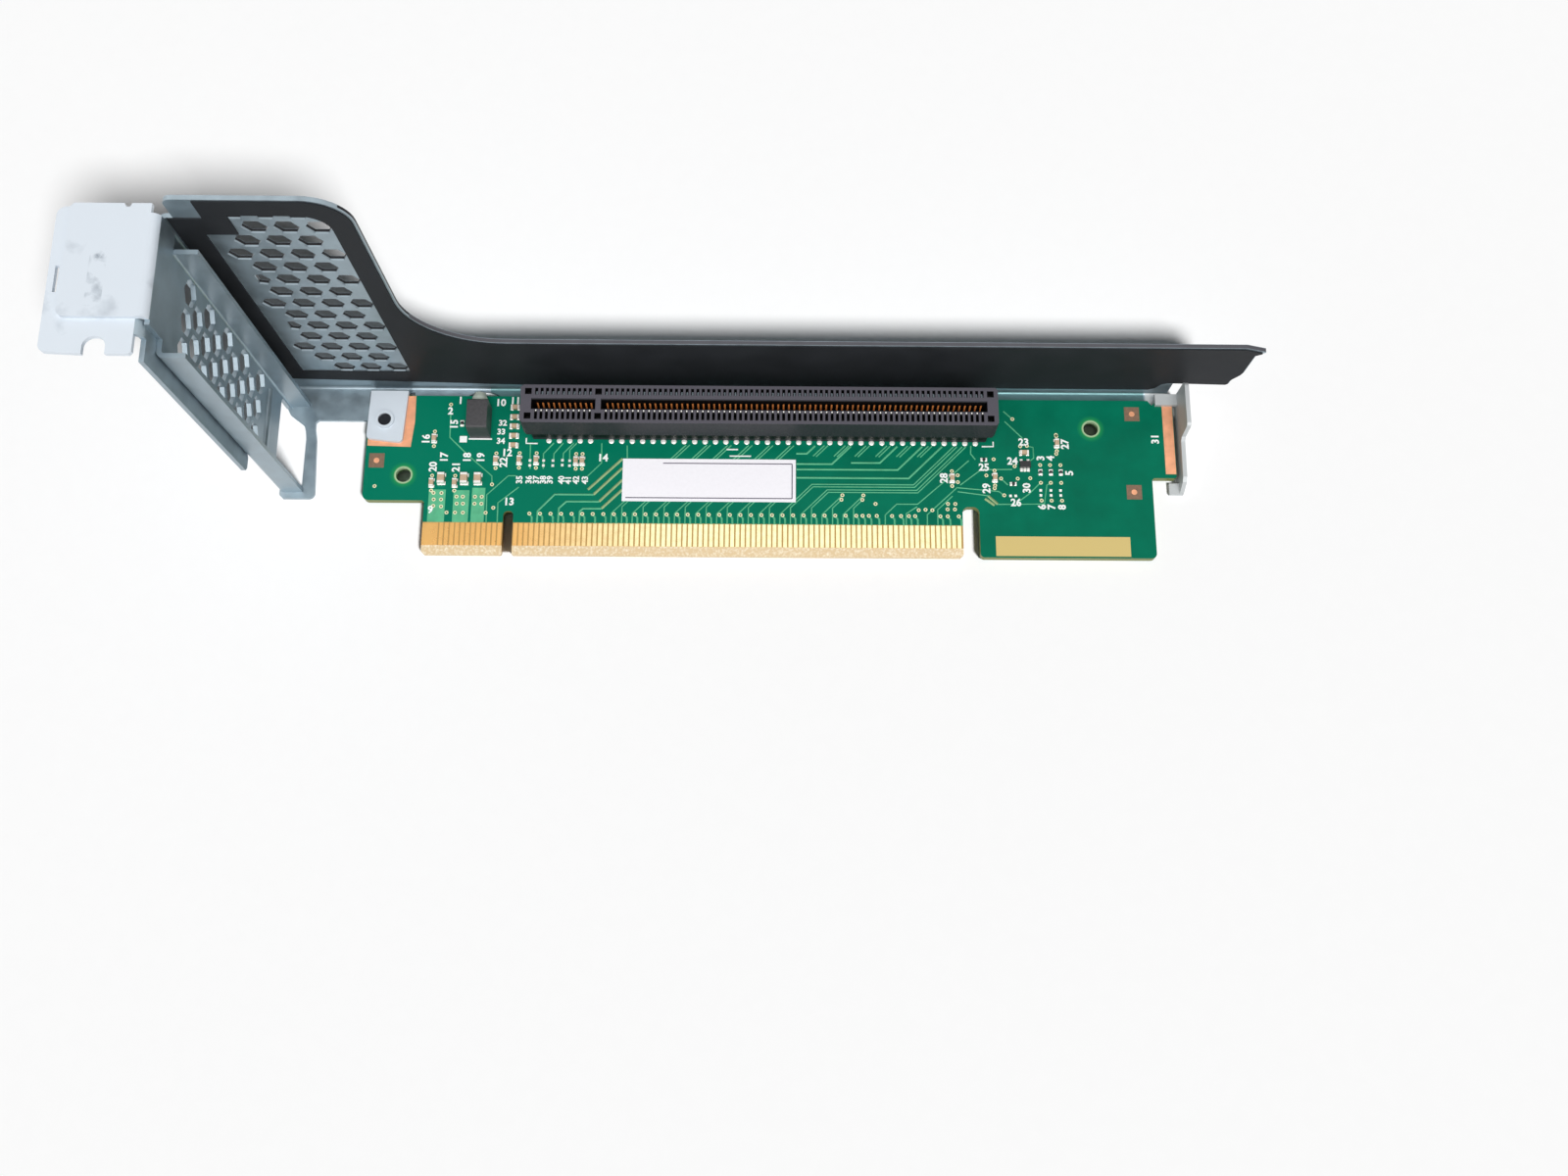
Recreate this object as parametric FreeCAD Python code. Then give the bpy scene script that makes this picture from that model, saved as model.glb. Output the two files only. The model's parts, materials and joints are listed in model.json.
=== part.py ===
# Riser card: folded steel bracket, perforated slot filler, board with card edge, and a long card slot.
# Millimetres. The card lies on its back: +X along the card edge, +Y from the card edge to the top wall,
# +Z out of the board's front face. Origin: centre of the card edge's key, at the edge, on the front face.
import os
import math
import FreeCAD
import Part

V = FreeCAD.Vector

# Board
board_t = 1.6
board_top = 32.0
pitch = 1.0
left_pins = 15
right_pins = 85
key_span = 3.0
key_width = 1.9
key_depth = 8.6
block_margin = 0.6
block_margin_right = 0.75
ear_width = 11.8
ear_bottom = 10.6
relief_width = 3.2
relief_top = 10.0
foot_width = 33.35
right_ear_width = 4.8
right_ear_bottom = 16.1
corner_cut = 1.3
bevel_length = 1.7
bevel_depth = 0.4
board_hole_r = 1.43
left_hole_y = 15.7
left_hole_inset = 7.5
right_hole_y = 26.1
right_hole_inset = 11.3

# Thin lands, film and label
land_t = 0.05
land_w = 0.7
land_low = 1.75
land_high = 6.2
merged_pins = 3
film_t = 0.25
film_inset = 0.3
label_t = 0.1
label_left = 21.4
label_width = 33.1
label_bottom = 10.7
label_height = 8.6
test_pad = 2.9

# Sheet metal
sheet = 0.8
bend_r = 0.6
fit_gap = 0.2
wall_gap = 2.4
strip_height = 19.2
tall_height = 69.5
tall_width = 29.3
tall_corner_r = 7.0
sweep_r = 16.0
overhang = 11.0
overhang_bottom = 3.1
end_reach = 1.7
end_foot = 1.4
end_step = 2.1
end_rise = 4.9
tip_drop = 2.8
tip_low = 1.6
tip_back = 2.4
arm_gap = 0.5
flange_depth = 4.9
bay_gap = 16.4
panel_start = 2.0
panel_drop = 5.5
head_inset = 1.6
corner_relief = 1.0
margin_depth = 4.2
finger_low = 10.2
finger_width = 3.4
finger_bottom = 16.5
rear_bar = 6.6
ledge_drop = 3.3
ledge_length = 13.8
ledge_low = 10.6
ledge_high = 35.0
ledge_notch_r = 1.75
ledge_notch_x = 5.5
ledge_notch_depth = 2.8
slit_length = 4.4
slit_width = 0.6
slit_inset = 1.0
plate_low = 27.4
leg_width = 2.2
tongue_slot = 4.15
neck_length = 3.2
shoulder = 4.0
foot_y = 11.4
foot_depth = 2.2
arm_tall = 7.0
arm_short = 2.0
arm_end = 13.4
arm_step = 7.8
hook_reach = 1.9
shelf_width = 4.2

# Screw tab and its screw
tab_width = 6.9
tab_end = 22.4
tab_lean = 0.7
tab_inset = 0.4
screw_r = 1.25
screw_clear = 0.02
screw_hole_r = 1.45
screw_y = 26.6
screw_inset = 3.4
screw_head_r = 2.3
screw_head_h = 0.75
drive_length = 2.8
drive_width = 0.6
collar_r = 1.8
collar_h = 0.45

# Vent
vent_pitch = 5.0
vent_rows = 14
vent_head = 3.81
vent_r = 2.15
vent_first_z = 8.1
vent_inset = 8.3

# Window and bare corner of the film
window_inset = 5.0
window_width = 20.45
window_low = 6.2
window_rise = 1.2
window_r = 4.5
step_width = 5.2
step_height = 6.0
bare_width = 6.2
film_low = 0.5
film_low_tall = 1.6
film_low_panel = 2.9
film_run = 20.0

# Slot filler
filler_t = 0.8
filler_width = 18.3
filler_low = 12.6
filler_r = 0.4
lip_depth = 4.6
lip_drop = 9.1
web_end = 4.2
head_low = 15.6
head_high = 33.6
filler_tab = 12.4
filler_tab_low = 16.3
filler_tab_high = 35.2
filler_rows = 9
filler_first_z = 17.0
filler_hole_r = 2.3
filler_hole_shift = 0.5
filler_hole_reach = 0.8
filler_notch = 3.6
head_turn = 0.5
bead_inset = 2.5
bead_z = 10.8
bead_h = 0.5
bead_r = 1.3

# Card slot
slot_first = 6.05
slot_short = 11
slot_long = 71
slot_y = 25.94
slot_h = 11.25
slot_w = 7.5
slot_end = 3.0
skirt_h = 5.0
skirt_inset = 1.0
mouth_w = 1.75
mouth_floor = 3.2
mouth_margin = 0.95
mouth_chamfer = 0.3
bridge_w = 1.0
window_w = 0.56
window_l = 1.35
window_depth = 2.2
window_offset = 2.45
pocket = 1.25
pocket_step = 1.55
contact_w = 0.5
contact_t = 0.2
contact_gap = 0.015
contact_top = 9.6
contact_bow = 0.25
contact_tip = 2.4

# Light
led_x = -6.15
led_w = 3.9
led_h = 5.0
led_low = 23.3
led_high = 29.4
led_slope = 0.4
lens_r = 1.45
lens_z = 2.6
lens_reach = 2.5
lens_depth = 2.2
led_relief_r = 5.3
led_relief_y = 28.35

# Chips: centre x, centre y, True when the long side runs along Y
small_size = (1.6, 0.8, 0.7, 0.3)
large_size = (2.1, 1.3, 1.1, 0.45)
tiny_size = (1.0, 0.5, 0.35, 0.2)
large_caps = [(-13.05, 14.9), (-8.7, 14.9), (-6.1, 14.9)]
upright_caps = [(-14.95, 23.1), (-14.9, 14.1), (-10.5, 14.1), (-2.9, 18.7), (1.55, 18.8), (4.8, 18.8),
                (12.4, 18.7), (13.6, 18.7), (92.6, 15.9), (84.4, 15.7), (104.75, 23.0)]
flat_caps = [(0.3, 21.8), (0.3, 23.75), (0.3, 25.7), (0.3, 27.6), (0.3, 29.6), (98.4, 21.0)]
upright_resistors = [(101.4, 17.1), (103.4, 17.1), (105.3, 17.1), (-9.8, 26.3)]
flat_resistors = [(90.6, 19.6), (96.1, 14.7)]
chip_x = 98.45
chip_y = 18.5
chip_l = 2.0
chip_w = 1.25
chip_h = 0.9
chip_lead_w = 0.25
chip_lead_l = 0.5
chip_lead_h = 0.15
chip_lead_pitch = 0.65
test_pad_places = [(-25.7, 18.6), (119.6, 29.2), (119.2, 13.2)]

# Derived places
half_key = key_span / 2
first_pin = -half_key - (left_pins - 1) * pitch
last_pin = half_key + (right_pins - 1) * pitch
block_left = first_pin - block_margin
block_right = last_pin + block_margin_right
ear_left = block_left - ear_width
foot_left = block_right + relief_width
foot_right = foot_left + foot_width
ear_right = foot_right + right_ear_width
left_hole_x = ear_left + left_hole_inset
right_hole_x = foot_right - right_hole_inset
back = -board_t
flange_back = back - sheet
wall_y = board_top + wall_gap
wall_out = wall_y + sheet
fold_y = wall_y - bend_r
fold_z = back + bend_r
panel_x = ear_left - bay_gap
panel_out = panel_x - sheet
tall_right = panel_x + tall_width
arm_x = ear_right + bend_r + fit_gap / 2
wall_right = arm_x + overhang
tab_left = ear_left + tab_inset
tab_right = tab_left + tab_width
screw_x = ear_left + screw_inset
slot_span = (slot_short + slot_long) * pitch + key_span - 2 * pitch
slot_last = slot_first + slot_span
slot_left = slot_first - slot_end
slot_right = slot_last + slot_end
key_x = slot_first + (slot_short - 1) * pitch + half_key
panel_top = tall_height - panel_drop
ledge_z = tall_height - ledge_drop
lip_top = tall_height - lip_drop
vent_row = (tall_height - vent_head - vent_first_z) / (vent_rows - 1)
fold_end = arm_x - bend_r - arm_gap
filler_high = filler_low + filler_width
filler_in = panel_x + filler_t
lip_x = panel_x + lip_depth

parts = {}


def spot(u, v, axis, w):
    """Places a sketch point (u, v) in the plane across the axis at height w."""
    if axis == "z":
        return V(u, v, w)
    if axis == "y":
        return V(u, w, v)
    return V(w, u, v)


def plate(points, axis, low, high):
    """Extrudes a closed outline; a point's third number rounds its corner, or cuts it off if negative."""
    count = len(points)
    corners = []
    for i in range(count):
        p = points[i]
        q = points[i - 1]
        n = points[(i + 1) % count]
        r = p[2] if len(p) > 2 else 0.0
        if r == 0.0:
            corners.append((p, None, p))
            continue
        ax, ay = q[0] - p[0], q[1] - p[1]
        bx, by = n[0] - p[0], n[1] - p[1]
        la, lb = math.hypot(ax, ay), math.hypot(bx, by)
        ax, ay, bx, by = ax / la, ay / la, bx / lb, by / lb
        if r < 0.0:
            corners.append(((p[0] - ax * r, p[1] - ay * r), None, (p[0] - bx * r, p[1] - by * r)))
            continue
        half = math.acos(max(-1.0, min(1.0, ax * bx + ay * by))) / 2
        d = r / math.tan(half)
        mx, my = ax + bx, ay + by
        lm = math.hypot(mx, my)
        reach = r / math.sin(half) - r
        mid = (p[0] + mx / lm * reach, p[1] + my / lm * reach)
        corners.append(((p[0] + ax * d, p[1] + ay * d), mid, (p[0] + bx * d, p[1] + by * d)))
    edges = []
    for i in range(count):
        start, mid, end = corners[i]
        if mid is None and start is not end:
            edges.append(Part.makeLine(spot(*start[:2], axis, low), spot(*end[:2], axis, low)))
        if mid is not None:
            arc = Part.Arc(spot(*start[:2], axis, low), spot(*mid, axis, low), spot(*end[:2], axis, low))
            edges.append(arc.toShape())
        begin = spot(end[0], end[1], axis, low)
        following = corners[(i + 1) % count][0]
        finish = spot(following[0], following[1], axis, low)
        if begin.distanceToPoint(finish) > 1e-6:
            edges.append(Part.makeLine(begin, finish))
    face = Part.Face(Part.Wire(edges))
    return face.extrude(spot(0, 0, axis, high - low))


def box(x0, x1, y0, y1, z0, z1):
    """Block between two corners."""
    return Part.makeBox(x1 - x0, y1 - y0, z1 - z0, V(x0, y0, z0))


def post(x, y, width, depth, z0, z1):
    """Upright block centred on (x, y)."""
    return box(x - width / 2, x + width / 2, y - depth / 2, y + depth / 2, z0, z1)


def disc(x, y, z0, z1, r):
    """Upright cylinder."""
    return Part.makeCylinder(r, z1 - z0, V(x, y, z0))


def bend(axis, low, high, cu, cv, su, sv, r, t):
    """Quarter turn of folded sheet about the centre (cu, cv), on the side given by two signs."""
    s = math.sqrt(0.5)
    o = r + t
    edges = [
        Part.Arc(spot(cu + su * r, cv, axis, low), spot(cu + su * r * s, cv + sv * r * s, axis, low),
                 spot(cu, cv + sv * r, axis, low)).toShape(),
        Part.makeLine(spot(cu, cv + sv * r, axis, low), spot(cu, cv + sv * o, axis, low)),
        Part.Arc(spot(cu, cv + sv * o, axis, low), spot(cu + su * o * s, cv + sv * o * s, axis, low),
                 spot(cu + su * o, cv, axis, low)).toShape(),
        Part.makeLine(spot(cu + su * o, cv, axis, low), spot(cu + su * r, cv, axis, low)),
    ]
    return Part.Face(Part.Wire(edges)).extrude(spot(0, 0, axis, high - low))


def hexagon(u, v, axis, low, high, r, along_u, half=False):
    """Six-sided punch with its points along u or v; half keeps only the side of larger u."""
    points = []
    for k in range(6):
        a = math.radians(60 * k + (0 if along_u else 30))
        points.append((u + r * math.cos(a), v + r * math.sin(a)))
    if half:
        points = [p for p in points if p[0] > u + r * 0.1]
        points.sort(key=lambda p: p[1])
        side = u - r * 0.1
        points = [(side, v + r * 0.7), (side, v - r * 0.7)] + points
    return plate(points, axis, low, high)


def joined(shapes):
    """One solid from touching pieces."""
    return shapes[0].multiFuse(shapes[1:]).removeSplitter()


def vent_punches():
    """Hexagon vent in the tall part of the wall, rows staggered by half a pitch."""
    left = panel_x + vent_inset
    punches = []
    for row in range(vent_rows):
        z = vent_first_z + row * vent_row
        if row % 2:
            places = [left + vent_pitch * (k + 0.5) for k in range(3)]
        else:
            places = [left + vent_pitch * k for k in range(1, 4)]
            if row % 4 == 2:
                places = [left] + places
            if row in (4, 8):
                punches.append(hexagon(left, z, "y", wall_y - 1, wall_out + 1, vent_r, True, True))
        for x in places:
            punches.append(hexagon(x, z, "y", wall_y - 1, wall_out + 1, vent_r, True))
    return punches


def wall_outline(d):
    """Outline of the top wall above the fold, drawn in by d."""
    end = wall_right - d
    tip = wall_right + end_reach - 2 * d
    return [
        (fold_end, overhang_bottom + d), (end - end_foot, overhang_bottom - 0.3 + d, -0.4),
        (end - end_foot, overhang_bottom + end_step, -0.5), (end, overhang_bottom + end_rise, -0.5),
        (end, strip_height - tip_drop), (tip, strip_height - tip_low - d * 0.5, -0.3),
        (end - tip_back, strip_height - d), (tall_right - d, strip_height - d, sweep_r + d),
        (tall_right - d, tall_height - d, tall_corner_r - d),
    ]


def make_bracket():
    """Folded sheet: wall, flange, plate and leg, screw tab, arm, rear panel and ledge."""
    relief_x = panel_x + corner_relief
    head_x = panel_x + head_inset
    wall = plate([
        (relief_x, fold_z), (fold_end, fold_z),
    ] + wall_outline(0.0) + [
        (head_x, tall_height, 1.5), (head_x, panel_top), (panel_x + bend_r, panel_top),
        (panel_x + bend_r, panel_start), (relief_x, panel_start),
    ], "y", wall_y, wall_out)
    wall_fold = bend("x", relief_x, fold_end, fold_y, fold_z, 1, -1, bend_r, sheet)
    panel_fold = bend("z", panel_start, panel_top, panel_x + bend_r, fold_y, -1, 1, bend_r, sheet)
    plate_x = panel_x + fit_gap
    leg_x = plate_x + tongue_slot
    flange_low = wall_y - flange_depth
    flange = plate([
        (relief_x, fold_y), (plate_x, fold_y), (plate_x, plate_low + 1.5, -0.8),
        (leg_x - 0.6, plate_low - 1.2, 1.5),
        (leg_x, plate_low - neck_length, -0.8), (leg_x, foot_y + foot_depth, -0.5),
        (plate_x, foot_y + foot_depth),
        (plate_x, foot_y, -0.6), (leg_x + leg_width + 0.3, foot_y, 1.2),
        (leg_x + leg_width - 0.3, plate_low - shoulder, 2.0),
        (leg_x + leg_width - 0.8, plate_low - 1.2, -0.5),
        (leg_x + leg_width - 0.6, plate_low, -0.4), (ear_left + 0.6, plate_low),
        (ear_left + 0.6, flange_low + 0.7),
        (ear_left - 0.5, flange_low + 0.7), (ear_left - 0.5, fold_y - 0.5), (tab_right + 1.0, fold_y - 0.5),
        (tab_right + 1.0, flange_low), (arm_x - bend_r, flange_low), (arm_x - bend_r, fold_y),
    ], "z", flange_back, back)
    flange = flange.cut(disc(led_x, led_relief_y, flange_back - 1, back + 1, led_relief_r))
    tab_z = land_t
    rise = board_top + 0.3
    profile = plate([
        (fold_y, flange_back), (fold_y - 0.5, flange_back), (rise, tab_z), (tab_end - 2, tab_z),
        (tab_end - 2, tab_z + sheet), (rise + 0.6, tab_z + sheet), (fold_y, back + 0.4),
    ], "x", tab_left - 2, tab_right + 2)
    lean = plate([
        (tab_left - tab_lean / 2, tab_end + 0.4, 0.8), (tab_right - tab_lean / 2, tab_end - 0.4, 0.8),
        (tab_right + tab_lean / 2, wall_y), (tab_left, wall_y),
    ], "z", flange_back - 1, sheet + 2)
    tab = profile.common(lean)
    collar = disc(screw_x, screw_y, tab_z + sheet, tab_z + sheet + collar_h, collar_r)
    arm = plate([
        (flange_low, fold_z), (fold_y - 0.6, fold_z), (fold_y - 0.6, arm_tall, 1.0),
        (board_top - arm_step, arm_tall, 0.8), (board_top - arm_step - 0.7, arm_short, -0.6),
        (arm_end + 1.8, arm_short - 0.3, -0.6),
        (arm_end, back, -0.5), (arm_end, flange_back), (flange_low, flange_back),
    ], "x", arm_x, arm_x + sheet)
    arm_fold = bend("y", flange_low, fold_y - 0.6, arm_x - bend_r, fold_z, 1, -1, bend_r, sheet)
    hook = box(arm_x - hook_reach, arm_x + sheet / 2, arm_end, arm_end + foot_depth, flange_back, back)
    shelf_low = board_top - 1.2
    shelf_top = land_t + sheet
    shelf = box(arm_x - shelf_width, arm_x + sheet / 2, shelf_low, fold_y - 0.7, land_t, shelf_top)
    rear_in = wall_y - margin_depth
    ledge_bottom = ledge_z - sheet
    rear_top = ledge_bottom - bend_r
    finger_high = finger_low + finger_width
    rear = plate([
        (fold_y, panel_start), (fold_y, panel_top), (fold_y - 0.4, panel_top), (fold_y - 0.4, rear_top),
        (finger_high + 0.2, rear_top), (finger_high + 0.2, rear_top - 0.6), (finger_low, rear_top - 0.6),
        (finger_low, finger_bottom, -0.6), (finger_high, finger_bottom, -0.8),
        (finger_high, rear_top - rear_bar, -0.6), (rear_in, rear_top - rear_bar, -0.6),
        (rear_in, panel_start),
    ], "x", panel_out, panel_x)
    ledge_right = panel_out - bend_r
    rear_fold = bend("y", finger_high + 0.2, fold_y - 0.4, ledge_right, rear_top, 1, 1, bend_r, sheet)
    ledge_left = ledge_right - ledge_length
    notch_x = ledge_right - ledge_notch_x
    notch_y = ledge_low + ledge_notch_depth
    notch_r = ledge_notch_r * 0.95
    ledge = plate([
        (ledge_right, ledge_high), (ledge_left, ledge_high, 1.5), (ledge_left, ledge_low + 0.3, 1.2),
        (notch_x - ledge_notch_r, ledge_low), (notch_x - ledge_notch_r, notch_y, notch_r),
        (notch_x + ledge_notch_r, notch_y, notch_r), (notch_x + ledge_notch_r, ledge_low),
        (ledge_right + 0.2, ledge_low, -0.4), (ledge_right + 0.2, finger_high + 0.2),
        (ledge_right, finger_high + 0.2),
    ], "z", ledge_bottom, ledge_z)
    slit_x = ledge_left + slit_inset
    slit_y = (ledge_low + ledge_high) / 2
    slit = box(slit_x, slit_x + slit_width, slit_y - slit_length / 2, slit_y + slit_length / 2,
               ledge_bottom - 1, ledge_z + 1)
    sheet_shape = joined([wall, wall_fold, panel_fold, flange, tab, collar, arm, arm_fold, hook, shelf,
                          rear, rear_fold, ledge.cut(slit)])
    tapped = disc(screw_x, screw_y, 0, sheet + collar_h + 1, screw_r + screw_clear)
    return sheet_shape.cut(Part.makeCompound(vent_punches() + [tapped]))


def make_film():
    """Insulating film on the wall's inner face, cut out round the vent and at the bare corner."""
    low = wall_y - film_t
    window_left = panel_x + window_inset
    window_right = window_left + window_width
    window_top = panel_top + window_rise
    step_x = window_left + step_width
    step_z = window_top - step_height
    edge = panel_x + bend_r + 0.1
    bare_x = panel_x + bare_width
    shelf_left = arm_x - shelf_width - 0.4
    body = plate([
        (edge, film_low_panel), (tall_right, film_low_tall), (tall_right + film_run, film_low),
        (shelf_left, film_low, -0.8),
        (shelf_left + 1.5, overhang_bottom + 0.6, -0.8),
    ] + wall_outline(film_inset)[1:] + [
        (bare_x, tall_height - film_inset), (bare_x, panel_top), (edge, panel_top),
    ], "y", low, wall_y)
    window = plate([
        (window_left, window_low), (window_right, window_low), (window_right, window_top, window_r),
        (step_x, window_top), (step_x, step_z), (window_left, step_z),
    ], "y", low - 1, wall_y + 1)
    return body.cut(window)


def make_filler():
    """Loose blanking cover: perforated channel, stiffening bead, head and outward tab."""
    outer_r = filler_r + filler_t
    channel = plate([
        (lip_x, filler_low), (panel_x, filler_low, outer_r), (panel_x, filler_high, outer_r),
        (lip_x, filler_high),
        (lip_x, filler_high - filler_t), (filler_in, filler_high - filler_t, filler_r),
        (filler_in, filler_low + filler_t, filler_r), (lip_x, filler_low + filler_t),
    ], "z", back, lip_top)
    mouth = plate([
        (filler_low + outer_r, back - 1), (filler_high - outer_r, back - 1),
        (filler_high - outer_r, web_end, 1.0),
        (filler_low + outer_r, web_end, 1.0),
    ], "x", panel_x - 1, filler_in + 0.2)
    channel = channel.cut(mouth)
    tab_z = ledge_z
    turn = head_turn
    head = box(panel_x, filler_in, head_low, head_high, lip_top, tab_z - turn)
    turn_x = panel_x - turn
    fold = bend("y", filler_tab_low, head_high, turn_x, tab_z - turn, 1, 1, turn, filler_t)
    notch_x = turn_x - filler_notch
    tab = plate([
        (turn_x, filler_tab_low), (turn_x, filler_tab_high), (notch_x + 0.6, filler_tab_high),
        (notch_x + 0.3, filler_tab_high - 0.6), (notch_x - 0.3, filler_tab_high - 0.6),
        (notch_x - 0.6, filler_tab_high), (turn_x - filler_tab, filler_tab_high, -0.6),
        (turn_x - filler_tab, filler_tab_low, 1.2),
    ], "z", tab_z, tab_z + filler_t)
    bead_start = V(filler_in + bead_h - bead_r, filler_low + bead_inset, bead_z)
    bead = Part.makeCylinder(bead_r, filler_width - 2 * bead_inset, bead_start, V(0, 1, 0))
    bead = bead.common(box(filler_in - 0.1, filler_in + 2, filler_low, filler_high, bead_z - 3, bead_z + 3))
    shape = joined([channel, head, fold, tab, bead])
    middle = (filler_low + filler_high) / 2
    punches = []
    for row in range(filler_rows):
        z = filler_first_z + row * vent_row
        steps = (-0.5, 0.5) if row % 2 else (-1, 0, 1)
        for k in steps:
            y = middle + filler_hole_shift + k * vent_pitch
            punches.append(hexagon(y, z, "x", panel_x - 1, filler_in + 1, filler_hole_r, False))
            if k == 1:
                y = y + filler_hole_reach / 2
                z = z - filler_hole_reach * math.sqrt(0.75)
                punches.append(hexagon(y, z, "x", panel_x - 1, filler_in + 1, filler_hole_r, False))
    return shape.cut(Part.makeCompound(punches))


def make_board():
    """Board outline with card edge, key, open notch, ears, holes and the bevelled edge."""
    outline = [
        (ear_left, ear_bottom, 1.2), (block_left, ear_bottom, -0.4), (block_left, 0.0, -0.6),
        (-key_width / 2, 0.0, -0.25), (-key_width / 2, key_depth, key_width * 0.45),
        (key_width / 2, key_depth, key_width * 0.45), (key_width / 2, 0.0, -0.25), (block_right, 0.0, -0.6),
        (block_right, relief_top, 1.2), (foot_left, relief_top, 1.2), (foot_left, 0.0, 0.8),
        (foot_right, 0.0, 1.0), (foot_right, right_ear_bottom, -0.4), (ear_right, right_ear_bottom, -0.4),
        (ear_right, board_top), (foot_right + 1.6, board_top), (foot_right + 0.8, board_top - 1.0),
        (foot_right, board_top), (ear_left + corner_cut, board_top), (ear_left, board_top - corner_cut),
    ]
    shape = plate(outline, "z", back, 0.0)
    cuts = [
        disc(left_hole_x, left_hole_y, back - 1, 1, board_hole_r),
        disc(right_hole_x, right_hole_y, back - 1, 1, board_hole_r),
        disc(screw_x, screw_y, back - 1, 1, screw_hole_r),
    ]
    slope = bevel_depth / bevel_length
    for side in (0.0, back):
        sign = 1 if side == 0.0 else -1
        cuts.append(plate([
            (bevel_length, side), (-1.0, side - sign * (bevel_depth + slope)), (-1.0, side + sign),
            (bevel_length, side + sign),
        ], "x", block_left - 1, block_right + 1))
    return shape.cut(Part.makeCompound(cuts))


def edge_lands(z0, z1):
    """Gold lands of the card edge; the first few are one wide land."""
    lands = []
    half = land_w / 2
    merged_end = first_pin + (merged_pins - 1) * pitch + half
    lands.append(box(block_left + 0.05, merged_end, land_low, land_high, z0, z1))
    for k in range(merged_pins, left_pins):
        x = first_pin + k * pitch
        lands.append(box(x - half, x + half, land_low, land_high, z0, z1))
    for k in range(right_pins):
        x = half_key + k * pitch
        lands.append(box(x - half, x + half, land_low, land_high, z0, z1))
    return Part.makeCompound(lands)


def slot_places():
    """Contact centres along the slot, either side of its key."""
    places = [slot_first + k * pitch for k in range(slot_short)]
    start = slot_first + (slot_short - 1) * pitch + key_span
    return places + [start + k * pitch for k in range(slot_long)]


def make_housing():
    """Moulded slot housing: head on a narrower skirt, card mouth with key, contact windows."""
    half = slot_w / 2
    low, high = slot_y - half, slot_y + half
    head = plate([
        (slot_left, low, -0.5), (slot_right, low, -0.5), (slot_right, high, -0.5), (slot_left, high, -0.5),
    ], "z", skirt_h, slot_h)
    inset = skirt_inset
    skirt = box(slot_left + inset, slot_right - inset, low + inset, high - inset, 0, skirt_h)
    body = joined([head, skirt])
    mouth = mouth_w / 2
    lane = mouth - contact_t - contact_bow / 2 - 2 * contact_gap
    rim = mouth + mouth_chamfer
    cuts = []
    short_run = (slot_first - mouth_margin, key_x - bridge_w / 2)
    long_run = (key_x + bridge_w / 2, slot_last + mouth_margin)
    for x0, x1 in (short_run, long_run):
        cuts.append(box(x0, x1, slot_y - mouth, slot_y + mouth, mouth_floor, slot_h + 1))
        cuts.append(box(x0, x1, slot_y - mouth, slot_y - lane, -1, mouth_floor))
        cuts.append(box(x0, x1, slot_y + lane, slot_y + mouth, -1, mouth_floor))
        cuts.append(plate([
            (slot_y - mouth, slot_h - mouth_chamfer), (slot_y + mouth, slot_h - mouth_chamfer),
            (slot_y + rim, slot_h), (slot_y + rim, slot_h + 0.5), (slot_y - rim, slot_h + 0.5),
            (slot_y - rim, slot_h),
        ], "x", x0, x1))
    body = body.cut(Part.makeCompound(cuts))
    floor_z = slot_h - window_depth
    windows = []
    for side in (-1, 1):
        y = slot_y + side * window_offset
        for x in slot_places():
            windows.append(post(x, y, window_w, window_l, floor_z, slot_h + 1))
        for x in (slot_first - pocket_step, key_x, slot_last + pocket_step):
            windows.append(post(x, y, pocket, pocket, floor_z, slot_h + 1))
    return body.cut(Part.makeCompound(windows))


def slot_contacts(side):
    """One row of spring contacts, standing on the board against the mouth's wall."""
    outer = mouth_w / 2 - contact_gap
    inner = outer - contact_t
    profile = [
        (outer, 0.0), (outer - 0.06, contact_top), (inner - contact_bow, contact_top - contact_tip),
        (inner, 0.0),
    ]
    contacts = []
    for x in slot_places():
        points = [(slot_y + side * dy, z) for dy, z in profile]
        contacts.append(plate(points, "x", x - contact_w / 2, x + contact_w / 2))
    return Part.makeCompound(contacts)


def make_led():
    """Right-angle light: wedge-fronted holder and a domed lens towards the wall."""
    x0, x1 = led_x - led_w / 2, led_x + led_w / 2
    holder = plate([
        (led_low, 0.0), (led_low + led_slope, led_h, -0.25), (led_high, led_h, -0.25), (led_high, 0.0),
    ], "x", x0, x1)
    seat = V(led_x, led_high - lens_depth, lens_z)
    along = V(0, 1, 0)
    holder = holder.cut(Part.makeCylinder(lens_r + screw_clear, lens_depth + 1, seat, along))
    stem = led_high + lens_reach - lens_r
    outline = [V(led_x, seat.y, lens_z), V(led_x + lens_r, seat.y, lens_z)]
    for k in range(3):
        a = math.radians(80 * k / 2)
        outline.append(V(led_x + lens_r * math.cos(a), stem + lens_r * math.sin(a), lens_z))
    outline.append(V(led_x, stem + lens_r * math.sin(math.radians(80)), lens_z))
    section = Part.Face(Part.makePolygon(outline + outline[:1]))
    return holder, section.revolve(seat, along, 360)


def chips(places, size, upright):
    """Chip bodies and their tinned ends."""
    length, width, height, end = size
    bodies = []
    ends = []
    for x, y in places:
        a, b = (width / 2, length / 2) if upright else (length / 2, width / 2)
        if upright:
            bodies.append(box(x - a, x + a, y - b + end, y + b - end, 0, height))
            ends.append(box(x - a, x + a, y - b, y - b + end, 0, height))
            ends.append(box(x - a, x + a, y + b - end, y + b, 0, height))
        else:
            bodies.append(box(x - a + end, x + a - end, y - b, y + b, 0, height))
            ends.append(box(x - a, x - a + end, y - b, y + b, 0, height))
            ends.append(box(x + a - end, x + a, y - b, y + b, 0, height))
    return bodies, ends


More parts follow.
